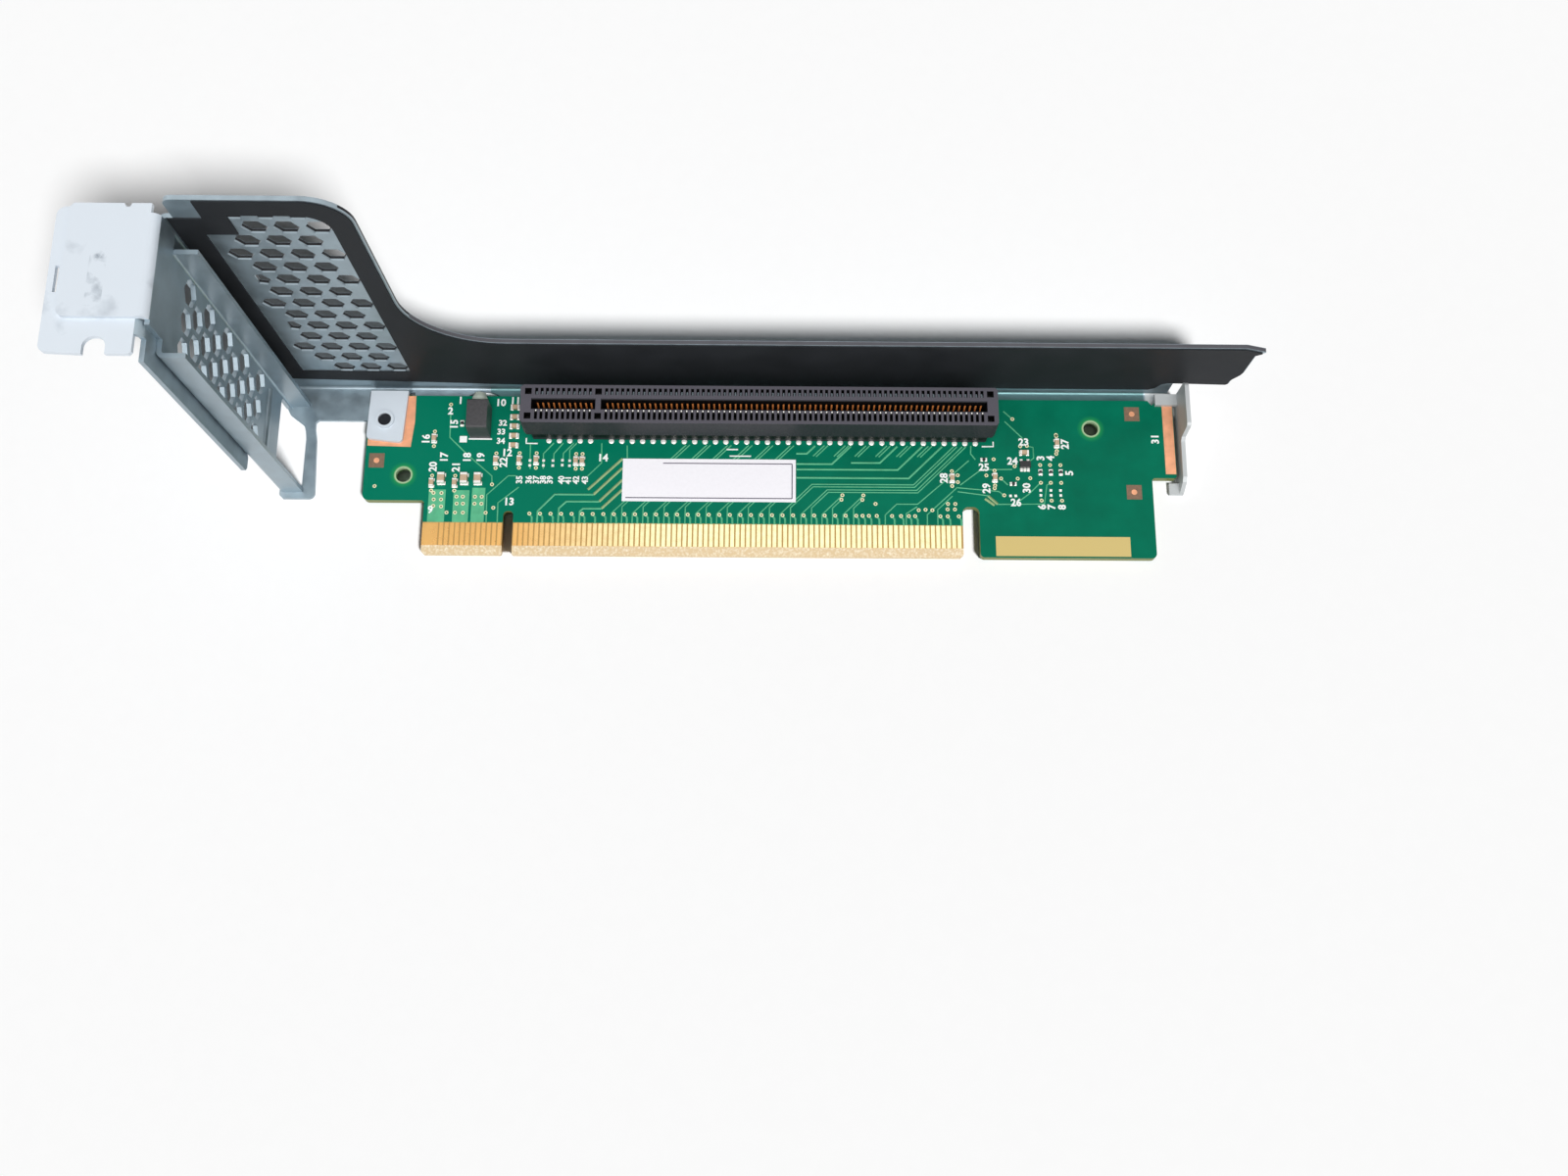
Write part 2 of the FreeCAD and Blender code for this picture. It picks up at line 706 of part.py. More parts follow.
def make_screw():
    """Low-head screw from the back of the board into the tapped tab."""
    tip = land_t + sheet + collar_h - 0.4
    shank = disc(screw_x, screw_y, back, tip, screw_r)
    head = disc(screw_x, screw_y, back - screw_head_h, back, screw_head_r)
    drive_top = back - screw_head_h / 2
    drive = post(screw_x, screw_y, drive_length, drive_width, back - 2 * screw_head_h, drive_top)
    return joined([head, shank]).cut(drive)


parts["bracket"] = make_bracket()
parts["insulator_film"] = make_film()
parts["slot_filler"] = make_filler()
parts["board_screw"] = make_screw()
parts["circuit_board"] = make_board()
parts["edge_contacts_front"] = edge_lands(0.0, land_t)
parts["edge_contacts_back"] = edge_lands(back - land_t, back)
pad = plate([
    (ear_left + 0.2, tab_end - 0.8), (tab_right + 1.2, tab_end - 1.0), (tab_right + 1.7, screw_y),
    (tab_right + 1.6, board_top - 0.1), (ear_left + corner_cut + 0.1, board_top - 0.1),
    (ear_left + 0.2, board_top - corner_cut),
], "z", 0.0, land_t)
parts["ground_pad_left"] = pad.cut(disc(screw_x, screw_y, -1, 1, screw_hole_r))
pad_low = right_ear_bottom + 0.8
parts["ground_pad_right"] = box(ear_right - 2.1, ear_right - 0.1, pad_low, board_top - 0.1, 0.0, land_t)
pads = [post(x, y, test_pad, test_pad, 0.0, land_t) for x, y in test_pad_places]
parts["test_pads"] = Part.makeCompound(pads)
label_x = label_left + label_width / 2
label_y = label_bottom + label_height / 2
parts["label"] = post(label_x, label_y, label_width, label_height, 0.0, label_t)
parts["slot_housing"] = make_housing()
parts["slot_contacts_upper"] = slot_contacts(1)
parts["slot_contacts_lower"] = slot_contacts(-1)
parts["led_holder"], parts["led_lens"] = make_led()
large_bodies, large_ends = chips(large_caps, large_size, True)
parts["capacitors_large"] = Part.makeCompound(large_bodies)
parts["capacitor_ends_large"] = Part.makeCompound(large_ends)
tall_bodies, tall_ends = chips(upright_caps, small_size, True)
flat_bodies, flat_ends = chips(flat_caps, small_size, False)
parts["capacitors_small"] = Part.makeCompound(tall_bodies + flat_bodies)
parts["capacitor_ends_small"] = Part.makeCompound(tall_ends + flat_ends)
tall_bodies, tall_ends = chips(upright_resistors, tiny_size, True)
flat_bodies, flat_ends = chips(flat_resistors, tiny_size, False)
parts["resistors"] = Part.makeCompound(tall_bodies + flat_bodies)
parts["resistor_ends"] = Part.makeCompound(tall_ends + flat_ends)
parts["regulator_body"] = post(chip_x, chip_y, chip_l, chip_w, 0.0, chip_h)
lead_step = (chip_w + chip_lead_l) / 2
leads = []
for k in (-1, 0, 1):
    x = chip_x + k * chip_lead_pitch
    leads.append(post(x, chip_y - lead_step, chip_lead_w, chip_lead_l, 0.0, chip_lead_h))
    if k:
        leads.append(post(x, chip_y + lead_step, chip_lead_w, chip_lead_l, 0.0, chip_lead_h))
parts["regulator_leads"] = Part.makeCompound(leads)

os.makedirs("parts", exist_ok=True)
for name, shape in parts.items():
    shape.exportStep("parts/" + name + ".step")
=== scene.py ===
import json
import math

import bmesh
import bpy
from mathutils import Matrix, Vector


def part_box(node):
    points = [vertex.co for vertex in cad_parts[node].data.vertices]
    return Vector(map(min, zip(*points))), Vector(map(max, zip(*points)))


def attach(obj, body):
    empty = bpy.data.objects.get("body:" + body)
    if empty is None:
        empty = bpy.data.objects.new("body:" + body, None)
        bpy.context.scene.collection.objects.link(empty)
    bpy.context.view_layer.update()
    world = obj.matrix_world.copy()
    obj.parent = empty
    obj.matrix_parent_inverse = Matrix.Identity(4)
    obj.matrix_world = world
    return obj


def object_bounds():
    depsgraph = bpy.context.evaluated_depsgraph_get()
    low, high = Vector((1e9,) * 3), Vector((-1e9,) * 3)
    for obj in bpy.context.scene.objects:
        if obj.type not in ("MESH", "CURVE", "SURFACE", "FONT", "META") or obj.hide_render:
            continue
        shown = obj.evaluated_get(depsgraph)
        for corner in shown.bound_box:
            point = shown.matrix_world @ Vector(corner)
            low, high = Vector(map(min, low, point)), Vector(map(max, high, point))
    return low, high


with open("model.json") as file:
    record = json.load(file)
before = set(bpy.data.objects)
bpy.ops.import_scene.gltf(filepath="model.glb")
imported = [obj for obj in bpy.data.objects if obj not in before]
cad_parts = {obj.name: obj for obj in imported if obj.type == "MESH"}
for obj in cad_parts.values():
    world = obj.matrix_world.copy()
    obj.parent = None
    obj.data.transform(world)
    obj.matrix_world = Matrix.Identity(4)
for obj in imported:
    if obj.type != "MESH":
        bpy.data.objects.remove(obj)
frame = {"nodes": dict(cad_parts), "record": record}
CAD_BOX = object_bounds()
NODES = frame["nodes"]
MM = 0.001  # places and lengths below are in millimetres, unless a comment says metres
PITCH = 1.0  # of the contacts on the card edge and in the slot

bl_info = {
    "name": "Riser card looks",
    "version": (1, 1, 0),
    "blender": (4, 5, 0),
    "location": "3D View > Sidebar > Riser",
    "description": "Gives a riser card in its bracket its finishes, print and stage",
    "category": "Object",
}


def linear(code):
    """Turns an sRGB hex colour into linear red, green and blue."""
    parts = [int(code[i:i + 2], 16) / 255 for i in (0, 2, 4)]
    return tuple(c / 12.92 if c <= 0.04045 else ((c + 0.055) / 1.055) ** 2.4 for c in parts)


def tint(label, code, words):
    """A colour that the user may change."""
    return bpy.props.FloatVectorProperty(name=label, description=words, subtype="COLOR", size=3, min=0, max=1,
                                         default=linear(code))


def length(label, millimetres, words):
    """A size that the user may change."""
    return bpy.props.FloatProperty(name=label, description=words, unit="LENGTH", subtype="DISTANCE", min=0,
                                   precision=5, default=millimetres * MM)


def power(label, watts, words):
    """A lamp's power that the user may change."""
    return bpy.props.FloatProperty(name=label, description=words, unit="POWER", min=0, default=watts)


class RiserColours(bpy.types.PropertyGroup):
    """Colours of the card's materials."""
    steel: tint("Steel", "95a3ab", "Zinc-coated sheet of the bracket and the filler")
    # Whitish sheet laid on the ledge, the screw tab and the filler's tab
    bright: tint("Bright steel", "d2dae2", "Rubbed sheet of the ledge and the screw tab")
    sheared: tint("Sheared edge", "55555a", "Cut edge of the long wall, where the zinc is missing")
    # Partly painted shade: the far half of the vent holes' walls is laid near black, darker than its rough
    # fracture face
    torn: tint("Torn edge", "242427", "Rough far half of the vent holes' punched edges")
    # Painted reflection: the flange is laid dark green-grey for the green board and black film it mirrors
    strip: tint("Flange", "5f7f81", "Narrow flange beside the board, greened by the board beside it")
    # Painted light: the arm's sheet is laid lighter grey, as if lit from the front
    arm: tint("Arm", "bcc0c1", "Rubbed sheet of the right arm")
    smudge: tint("Smudge", "8b95a0", "Finger marks on the rubbed sheet")
    screw: tint("Screw", "2b2c30", "Blackened screw")
    film: tint("Film", "292b2e", "Insulating film on the wall")
    dust: tint("Dust", "4a4d50", "Dust on the film")
    mask: tint("Solder mask", "006a50", "Green of the board")
    mask_left: tint("Solder mask at the left", "007359", "Green over the copper layers at the left end")
    copper_green: tint("Masked copper", "5bb287", "Green where copper lies under the mask")
    power_green: tint("Masked power trace", "93ad7c", "Paler green of the wide traces")
    laminate: tint("Laminate", "b9945a", "Bare board between the gold lands")
    cut: tint("Cut edge", "7d8350", "Sawn sides of the board")
    bevel: tint("Bevel", "d8bf96", "Ground bevel of the card edge")
    weave: tint("Glass weave", "efe4cb", "Pale glass in the ground bevel")
    bronze: tint("Bare window", "d3bd7c", "Unmasked strip at the foot")
    halo: tint("Hole halo", "25924f", "Masked copper round the board's holes")
    rim: tint("Hole rim", "a8c39a", "Bare rim of the board's holes")
    gold: tint("Gold", "fff6c2", "Gold lands towards the right")
    # Painted shade: the lands at the left are laid darker and more orange
    gold_worn: tint("Worn gold", "ecb870", "Gold lands at the left, more orange")
    spring: tint("Spring contact", "ffa258", "Blades of the contacts inside the slot")
    # Painted shade: each contact is laid near black either side of its blade
    spring_side: tint("Contact sides", "25150d", "Contacts inside the slot, either side of the blade")
    copper: tint("Copper", "eba67e", "Bare protected copper")
    pad: tint("Test pad", "785f4b", "Mask window round a test point")
    silk: tint("Print", "f2f4f2", "White print on the board")
    paper: tint("Paper", "f3f1f6", "Label")
    ink: tint("Label ink", "6a6674", "Thin frame printed on the label")
    slot: tint("Slot plastic", "2c2c32", "Moulded slot")
    # Painted light: the slot's top face is laid paler than its sides
    slot_top: tint("Slot top", "514f57", "Paler top of the moulded slot")
    # Painted shade: near black laid inside the slot's mouth and windows, and on the top face past the lower
    # windows' cut ends
    shade: tint("Slot inside", "050506", "Deep plastic inside the slot's mouth and windows")
    holder: tint("Holder plastic", "424143", "Moulded light holder")
    ceramic: tint("Ceramic", "c0a68a", "Chip capacitors")
    tin: tint("Tin", "f6f4ef", "Soldered ends and joints")
    resin: tint("Resin", "141416", "Chip resistors and regulator")
    lens: tint("Lens", "c9d3c8", "Milky light lens")
    ring: tint("Via ring", "efe7bf", "Copper ring of a via, seen through thin mask")
    hole: tint("Via hole", "5d6a48", "Shadow inside a via")


class RiserSizes(bpy.types.PropertyGroup):
    """Sizes of what is printed and soldered on the board."""
    via_ring: length("Via ring", 0.37, "Radius of a via's copper ring")
    via_hole: length("Via hole", 0.19, "Radius of a via's hole")
    trace: length("Trace", 0.24, "Width of a fine trace")
    hook: length("Hook", 0.38, "Width of the short trace between a land and its via")
    wide_trace: length("Wide trace", 0.5, "Width of a power trace")
    test_dot: length("Test dot", 0.55, "Radius of the copper dot in a test pad")
    print_line: length("Print line", 0.3, "Width of a printed line")
    figure: length("Figure", 1.5, "Height of a printed number")
    small_figure: length("Small figure", 1.2, "Height of a number in the crowded rows")
    stroke: length("Stroke", 0.07, "How far a number's strokes are thickened")
    joint: length("Solder joint", 0.54, "Radius of a slot pin's solder")
    tip_width: length("Tip width", 0.3, "Width of a contact's tip in an upper window")
    tip_thickness: length("Tip thickness", 0.12, "Thickness of a contact's tip")
    tip_height: length("Tip height", 0.9, "Height of a contact's tip")
    label_line: length("Label line", 0.22, "Width of the frame printed on the label")
    land_margin: length("Land margin", 0.14, "How far a land shows round a chip's end")
    skin: length("Print height", 0.02, "Height of print and traces over the board")


class RiserStage(bpy.types.PropertyGroup):
    """Camera, lights and floor."""
    lens: bpy.props.FloatProperty(name="Lens", description="Focal length on a 36 mm wide sensor",
                                  default=35.57, min=1)
    place: bpy.props.FloatVectorProperty(name="Camera", description="Camera position in the card's frame",
                                         unit="LENGTH", default=(0.05012, -0.08509, 0.27933))
    turn: bpy.props.FloatVectorProperty(name="Camera turn", description="Camera rotation", subtype="EULER",
                                        default=[math.radians(a) for a in (15.76, -0.521, 0.232)])
    key: power("Key", 18.0, "Large soft lamp on the card, high in front")
    fill: power("Fill", 5.5, "Soft lamp on the card, in front at the right")
    side: power("Side", 4.5, "Soft lamp on the card, in front at the left")
    rear: power("Rear", 1.5, "Soft lamp on the card, behind at the left")
    ground: bpy.props.FloatProperty(name="Floor light", default=3.75, min=0,
                                    description="Strength of the even light on the floor alone")
    sky: bpy.props.FloatProperty(name="Sky", description="Strength of the light from all round",
                                 default=0.04, min=0)
    floor: tint("Floor", "fbfbfb", "Pale floor")


def colours():
    """The colours as the user has set them."""
    return bpy.context.scene.riser_colours


def sizes():
    """The sizes as the user has set them."""
    return bpy.context.scene.riser_sizes


def add(tree, kind, inputs=None, **settings):
    """Adds a node with its settings; an input takes a value, or a link from an output socket."""
    made = tree.nodes.new(kind)
    for name, value in settings.items():
        setattr(made, name, value)
    for name, value in (inputs or {}).items():
        socket = made.inputs[name]
        if isinstance(value, bpy.types.NodeSocket):
            tree.links.new(value, socket)
        elif socket.type == "RGBA":
            socket.default_value = (*value[:3], 1.0)
        else:
            socket.default_value = value
    return made


# The stretch of noise that a grain uses, and how far the grain changes a finish's roughness
GRAIN_LOW, GRAIN_HIGH = 0.3, 0.7
SMOOTHER, ROUGHER = 0.85, 1.15


def surface(name, colour, roughness, grain, spread=0.1, depth=0.002, metallic=0.0, **constants):
    """A finish, made afresh under its name, whose colour, roughness and bump follow one grain.

    The grain has a size and a depth, and spread is how far it changes the colour.
    """
    made = bpy.data.materials.get(name) or bpy.data.materials.new(name)
    made.use_nodes = True
    tree = made.node_tree
    tree.nodes.clear()
    place = add(tree, "ShaderNodeTexCoord", name="place").outputs["Object"]
    noise = add(tree, "ShaderNodeTexNoise", {"Vector": place, "Scale": 1 / (grain * MM), "Detail": 3.0})
    level = add(tree, "ShaderNodeMapRange", {
        "Value": noise.outputs["Fac"], "From Min": GRAIN_LOW, "From Max": GRAIN_HIGH}).outputs["Result"]
    dark = [c * (1 - spread) for c in colour]
    light = [min(1.0, c * (1 + spread)) for c in colour]
    tone = add(tree, "ShaderNodeMix", {0: level, 6: dark, 7: light}, data_type="RGBA")
    rough = add(tree, "ShaderNodeMapRange", {
        "Value": level, "To Min": roughness * SMOOTHER, "To Max": roughness * ROUGHER})
    relief = add(tree, "ShaderNodeBump", {"Height": level, "Distance": depth * MM, "Strength": 1.0})
    shader = add(tree, "ShaderNodeBsdfPrincipled", {
        "Base Color": tone.outputs[2], "Metallic": metallic, "Roughness": rough.outputs["Result"],
        "Normal": relief.outputs["Normal"]}, name="shader")
    for socket, value in constants.items():
        shader.inputs[socket.replace("_", " ")].default_value = value
    add(tree, "ShaderNodeOutputMaterial", {"Surface": shader.outputs["BSDF"]})
    return made


def layer(material, mask, colour, metallic=None):
    """Lays a colour over a finish where the mask is 1, with a metal share in the first layer at most."""
    tree = material.node_tree
    shader = tree.nodes["shader"]
    under = shader.inputs["Base Color"].links[0].from_socket
    over = add(tree, "ShaderNodeMix", {0: mask, 6: under, 7: colour}, data_type="RGBA")
    tree.links.new(over.outputs[2], shader.inputs["Base Color"])
    if metallic is not None:
        before = shader.inputs["Metallic"].default_value
        share = add(tree, "ShaderNodeMix", {0: mask, 2: before, 3: metallic})
        tree.links.new(share.outputs[0], shader.inputs["Metallic"])


def within(material, spans):
    """Mask that is 1 inside the spans, given for some of the axes, and 0 outside."""
    tree = material.node_tree
    axes = add(tree, "ShaderNodeSeparateXYZ", {"Vector": tree.nodes["place"].outputs["Object"]})
    mask = None
    for axis, (low, high) in spans.items():
        near = add(tree, "ShaderNodeMath", {0: axes.outputs[axis], 1: (low + high) / 2 * MM,
                                            2: (high - low) / 2 * MM}, operation="COMPARE").outputs[0]
        if mask:
            near = add(tree, "ShaderNodeMath", {0: mask, 1: near}, operation="MULTIPLY").outputs[0]
        mask = near
    return mask


def around(material, middle, near, far):
    """Mask that fades from 1 to 0 between two distances from an upright line."""
    tree = material.node_tree
    flat = add(tree, "ShaderNodeVectorMath", {0: tree.nodes["place"].outputs["Object"], 1: (1, 1, 0)},
               operation="MULTIPLY").outputs["Vector"]
    away = add(tree, "ShaderNodeVectorMath", {0: flat, 1: (middle[0] * MM, middle[1] * MM, 0)},
               operation="DISTANCE").outputs["Value"]
    return add(tree, "ShaderNodeMapRange", {"Value": away, "From Min": near * MM, "From Max": far * MM,
                                            "To Min": 1.0, "To Max": 0.0}).outputs["Result"]


def patchy(material, mask, grain, low, high):
    """A mask broken up by soft noise of one grain, spread between two levels and clamped."""
    tree = material.node_tree
    noise = add(tree, "ShaderNodeTexNoise", {"Vector": tree.nodes["place"].outputs["Object"],
                                             "Scale": 1 / (grain * MM), "Detail": 4.0})
    spots = add(tree, "ShaderNodeMapRange", {
        "Value": noise.outputs["Fac"], "From Min": low, "From Max": high}).outputs["Result"]
    return add(tree, "ShaderNodeMath", {0: mask, 1: spots}, operation="MULTIPLY").outputs[0]


def leftward(material, left, right):
    """Mask that fades from 1 to 0 between two places along X."""
    tree = material.node_tree
    axes = add(tree, "ShaderNodeSeparateXYZ", {"Vector": tree.nodes["place"].outputs["Object"]})
    return add(tree, "ShaderNodeMapRange", {
        "Value": axes.outputs["X"], "From Min": left * MM, "From Max": right * MM,
        "To Min": 1.0, "To Max": 0.0}).outputs["Result"]


def striped(material, mask, column, half):
    """A mask cut to stripes, one over each contact, from a column's X and half a stripe's width."""
    tree = material.node_tree
    axes = add(tree, "ShaderNodeSeparateXYZ", {"Vector": tree.nodes["place"].outputs["Object"]})
    low, high = column - PITCH / 2, column + PITCH / 2
    cell = add(tree, "ShaderNodeMath", {0: axes.outputs["X"], 1: high * MM, 2: low * MM},
               operation="WRAP").outputs[0]
    stripe = add(tree, "ShaderNodeMath", {0: cell, 1: column * MM, 2: half * MM},
                 operation="COMPARE").outputs[0]
    return add(tree, "ShaderNodeMath", {0: mask, 1: stripe}, operation="MULTIPLY").outputs[0]


def placed(name, data):
    """Adds an object to the scene."""
    made = bpy.data.objects.new(name, data)
    bpy.context.scene.collection.objects.link(made)
    return made


def baked(carrier):
    """The finished shape of a carrier as a plain mesh; the carrier goes."""
    graph = bpy.context.evaluated_depsgraph_get()
    mesh = bpy.data.meshes.new_from_object(carrier.evaluated_get(graph), depsgraph=graph)
    bpy.data.objects.remove(carrier)
    return mesh


def wear(name, material):
    """Gives a CAD node one material."""
    mesh = NODES[name].data
    mesh.materials.clear()
    mesh.materials.append(material)


def seat(name, mesh, material):
    """Adds a finished piece, in place in its mesh, that goes with the card."""
    if not mesh.polygons:
        raise RuntimeError(name + " has no faces")
    mesh.materials.clear()
    mesh.materials.append(material)
    made = placed(name, mesh)
    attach(made, "root")
    return made


def sketch(points, edges=()):
    """A loose mesh of points and edges."""
    mesh = bpy.data.meshes.new("sketch")
    mesh.from_pydata([Vector(p) * MM for p in points], edges, [])
    return mesh


def grown(mesh, tree, values):
    """Runs a geometry tree on a mesh and returns the result as a plain mesh."""
    carrier = placed("carrier", mesh)
    modifier = carrier.modifiers.new("grow", "NODES")
    modifier.node_group = tree
    for item in tree.interface.items_tree:
        if item.in_out == "INPUT" and item.name in values:
            modifier[item.identifier] = values[item.name]
    return baked(carrier)


def new_tree(name, inputs):
    """An empty geometry tree with named inputs."""
    tree = bpy.data.node_groups.new(name, "GeometryNodeTree")
    tree.interface.new_socket("Geometry", in_out="INPUT", socket_type="NodeSocketGeometry")
    tree.interface.new_socket("Geometry", in_out="OUTPUT", socket_type="NodeSocketGeometry")
    for label in inputs:
        tree.interface.new_socket(label, in_out="INPUT", socket_type="NodeSocketFloat")
    tree.interface.new_socket("Material", in_out="INPUT", socket_type="NodeSocketMaterial")
    return tree, add(tree, "NodeGroupInput").outputs


def close_tree(tree, geometry, material):
    """Ends a tree in plain geometry with its material."""
    real = add(tree, "GeometryNodeRealizeInstances", {"Geometry": geometry})
    painted = add(tree, "GeometryNodeSetMaterial", {
        "Geometry": real.outputs["Geometry"], "Material": material})
    add(tree, "NodeGroupOutput", {"Geometry": painted.outputs["Geometry"]})
    return tree


# How finely discs and drops are divided
DISC_SIDES = 14
DROP_SEGMENTS, DROP_RINGS = 12, 8


def disc_tree():
    """A flat disc at each point."""
    tree, given = new_tree("discs_on_points", ["Radius"])
    disc = add(tree, "GeometryNodeMeshCircle", {
        "Vertices": DISC_SIDES, "Radius": given["Radius"]}, fill_type="NGON")
    spread = add(tree, "GeometryNodeInstanceOnPoints", {
        "Points": given["Geometry"], "Instance": disc.outputs["Mesh"]})
    return close_tree(tree, spread.outputs["Instances"], given["Material"])


def drop_tree():
    """A low drop of solder at each point."""
    tree, given = new_tree("drops_on_points", ["Radius", "Height"])
    ball = add(tree, "GeometryNodeMeshUVSphere", {
        "Segments": DROP_SEGMENTS, "Rings": DROP_RINGS, "Radius": 1.0})
    size = add(tree, "ShaderNodeCombineXYZ", {
        "X": given["Radius"], "Y": given["Radius"], "Z": given["Height"]})
    smooth = add(tree, "GeometryNodeSetShadeSmooth", {"Geometry": ball.outputs["Mesh"]})
    spread = add(tree, "GeometryNodeInstanceOnPoints", {
        "Points": given["Geometry"], "Instance": smooth.outputs["Geometry"], "Scale": size.outputs["Vector"]})
    return close_tree(tree, spread.outputs["Instances"], given["Material"])


def tip_tree():
    """A small leaning metal tip at each point."""
    tree, given = new_tree("tips_on_points", ["Width", "Thickness", "Height", "Lean"])
    size = add(tree, "ShaderNodeCombineXYZ", {
        "X": given["Width"], "Y": given["Thickness"], "Z": given["Height"]})
    block = add(tree, "GeometryNodeMeshCube", {"Size": size.outputs["Vector"]})
    turn = add(tree, "ShaderNodeCombineXYZ", {"X": given["Lean"]})
    spread = add(tree, "GeometryNodeInstanceOnPoints", {
        "Points": given["Geometry"], "Instance": block.outputs["Mesh"], "Rotation": turn.outputs["Vector"]})
    return close_tree(tree, spread.outputs["Instances"], given["Material"])


def strip_tree():
    """A flat strip along each run of edges."""
    tree, given = new_tree("strips_on_edges", ["Width", "Height"])
    path = add(tree, "GeometryNodeMeshToCurve", {"Mesh": given["Geometry"]})
    level = add(tree, "GeometryNodeSetCurveNormal", {"Curve": path.outputs["Curve"]}, mode="Z_UP")
    section = add(tree, "GeometryNodeCurvePrimitiveQuadrilateral", {
        "Width": given["Width"], "Height": given["Height"]})
    strip = add(tree, "GeometryNodeCurveToMesh", {
        "Curve": level.outputs["Curve"], "Profile Curve": section.outputs["Curve"], "Fill Caps": True})
    return close_tree(tree, strip.outputs["Mesh"], given["Material"])


def strips(name, runs, width, material, rise):
    """Seats flat strips along runs of points."""
    points = []
    edges = []
    for run in runs:
        start = len(points)
        points += [(x, y, rise) for x, y in run]
        edges += [(start + k, start + k + 1) for k in range(len(run) - 1)]
    tree = bpy.data.node_groups.get("strips_on_edges") or strip_tree()
    mesh = grown(sketch(points, edges), tree, {"Width": width, "Height": sizes().skin, "Material": material})
    return seat(name, mesh, material)


def discs(name, places, radius, material, rise):
    """Seats flat discs at places."""
    tree = bpy.data.node_groups.get("discs_on_points") or disc_tree()
    mesh = grown(sketch([(x, y, rise) for x, y in places]), tree, {"Radius": radius, "Material": material})
    return seat(name, mesh, material)


def patches(name, boxes, material, rise):
    """Seats flat rectangles given as low x, high x, low y, high y."""
    mesh = bpy.data.meshes.new(name)
    points = []
    for x0, x1, y0, y1 in boxes:
        points += [Vector((x, y, rise)) * MM for x, y in ((x0, y0), (x1, y0), (x1, y1), (x0, y1))]
    mesh.from_pydata(points, [], [tuple(range(k, k + 4)) for k in range(0, len(points), 4)])
    return seat(name, mesh, material)


SAME_PLACE = 1e-7  # metres within which two corners are one


def islands(node):
    """Low x, high x, low y and high y of each loose piece of a node."""
    shape = bmesh.new()
    shape.from_mesh(NODES[node].data)
    bmesh.ops.remove_doubles(shape, verts=shape.verts, dist=SAME_PLACE)
    found = []
    seen = set()
    for start in shape.verts:
        if start in seen:
            continue
        group = []
        queue = [start]
        seen.add(start)
        while queue:
            here = queue.pop()
            group.append(here.co / MM)
            for edge in here.link_edges:
                other = edge.other_vert(here)
                if other not in seen:
                    seen.add(other)
                    queue.append(other)
        xs = [c.x for c in group]
        ys = [c.y for c in group]
        found.append((min(xs), max(xs), min(ys), max(ys)))
    shape.free()
    return found


# Regions that look unlike the rest of their piece
SCREW_TAB = {"X": (-28.5, -19.5), "Y": (21.0, 32.6), "Z": (0.0, 1.6)}
LEDGE = {"X": (-60.0, -45.5), "Z": (65.0, 67.0)}
ARM = {"X": (122.8, 131.0), "Y": (10.0, 34.2), "Z": (-3.0, 20.0)}
WALL_EDGE = {"X": (-14.0, 150.0), "Y": (34.45, 35.15), "Z": (2.0, 80.0)}
# Far half of the vent holes' walls, laid near black as painted shade
VENT_EDGES = {"X": (-43.0, -14.0), "Y": (34.72, 35.17), "Z": (4.0, 67.0)}
FLANGE_REFLECTION = {"X": (-5.0, 122.5), "Y": (31.0, 34.35), "Z": (-3.0, 2.5)}
FILLER_TAB = {"Z": (66.0, 68.0)}
FILLER_MARK = {"X": (-53.2, -50.6), "Y": (18.0, 27.5), "Z": (66.0, 68.0)}
FILLER_SPOT = (-51.8, 26.2)
WHOLE_FILM = {"Z": (-10.0, 80.0)}
BOARD_SIDES = {"Z": (-1.57, -0.03)}
FOOT_STRIP = {"X": (92.4, 117.9), "Y": (0.3, 4.2)}
LAND_FIELD = {"X": (-17.0, 87.0), "Y": (-1.0, 6.3)}
BEVEL = {"X": (-17.0, 87.0), "Y": (-1.0, 1.74)}
WHOLE_CONTACT = {"Z": (0.0, 12.0)}
SLOT_TOP = {"Z": (11.17, 11.5)}
SLOT_INSIDE = {"X": (3.6, 91.5), "Z": (1.0, 11.15)}
SLOT_ROWS = {"lower windows": (22.5, 24.3), "mouth": (25.0, 26.9), "upper windows": (27.6, 29.4)}
# Painted shade drawn on the top face past the lower windows' cut ends, and the tin tips in it
WINDOW_END = {"Y": (24.0, 24.72), "Z": (11.0, 11.5)}
WINDOW_TIN = {"Y": (24.4, 24.72), "Z": (11.0, 11.5)}

# Half widths of the stripes over each contact: its blade, its window and the tin in that
BLADE_HALF, WINDOW_HALF, TIN_HALF = 0.15, 0.24, 0.11

# Where the board's green and the lands' gold change along X
GREEN_FADE = (-10.0, 70.0)
# The gold's painted shade fades out between these two places
GOLD_FADE = (2.0, 30.0)

# Rings round the board's holes, from the hole's edge
HALO_NEAR, HALO_FAR = 0.1, 1.3
RIM_NEAR, RIM_FAR = 0.18, 0.42

WHITISH_METAL = 0.1  # metal share of the whitish sheet on the ledge and the tabs


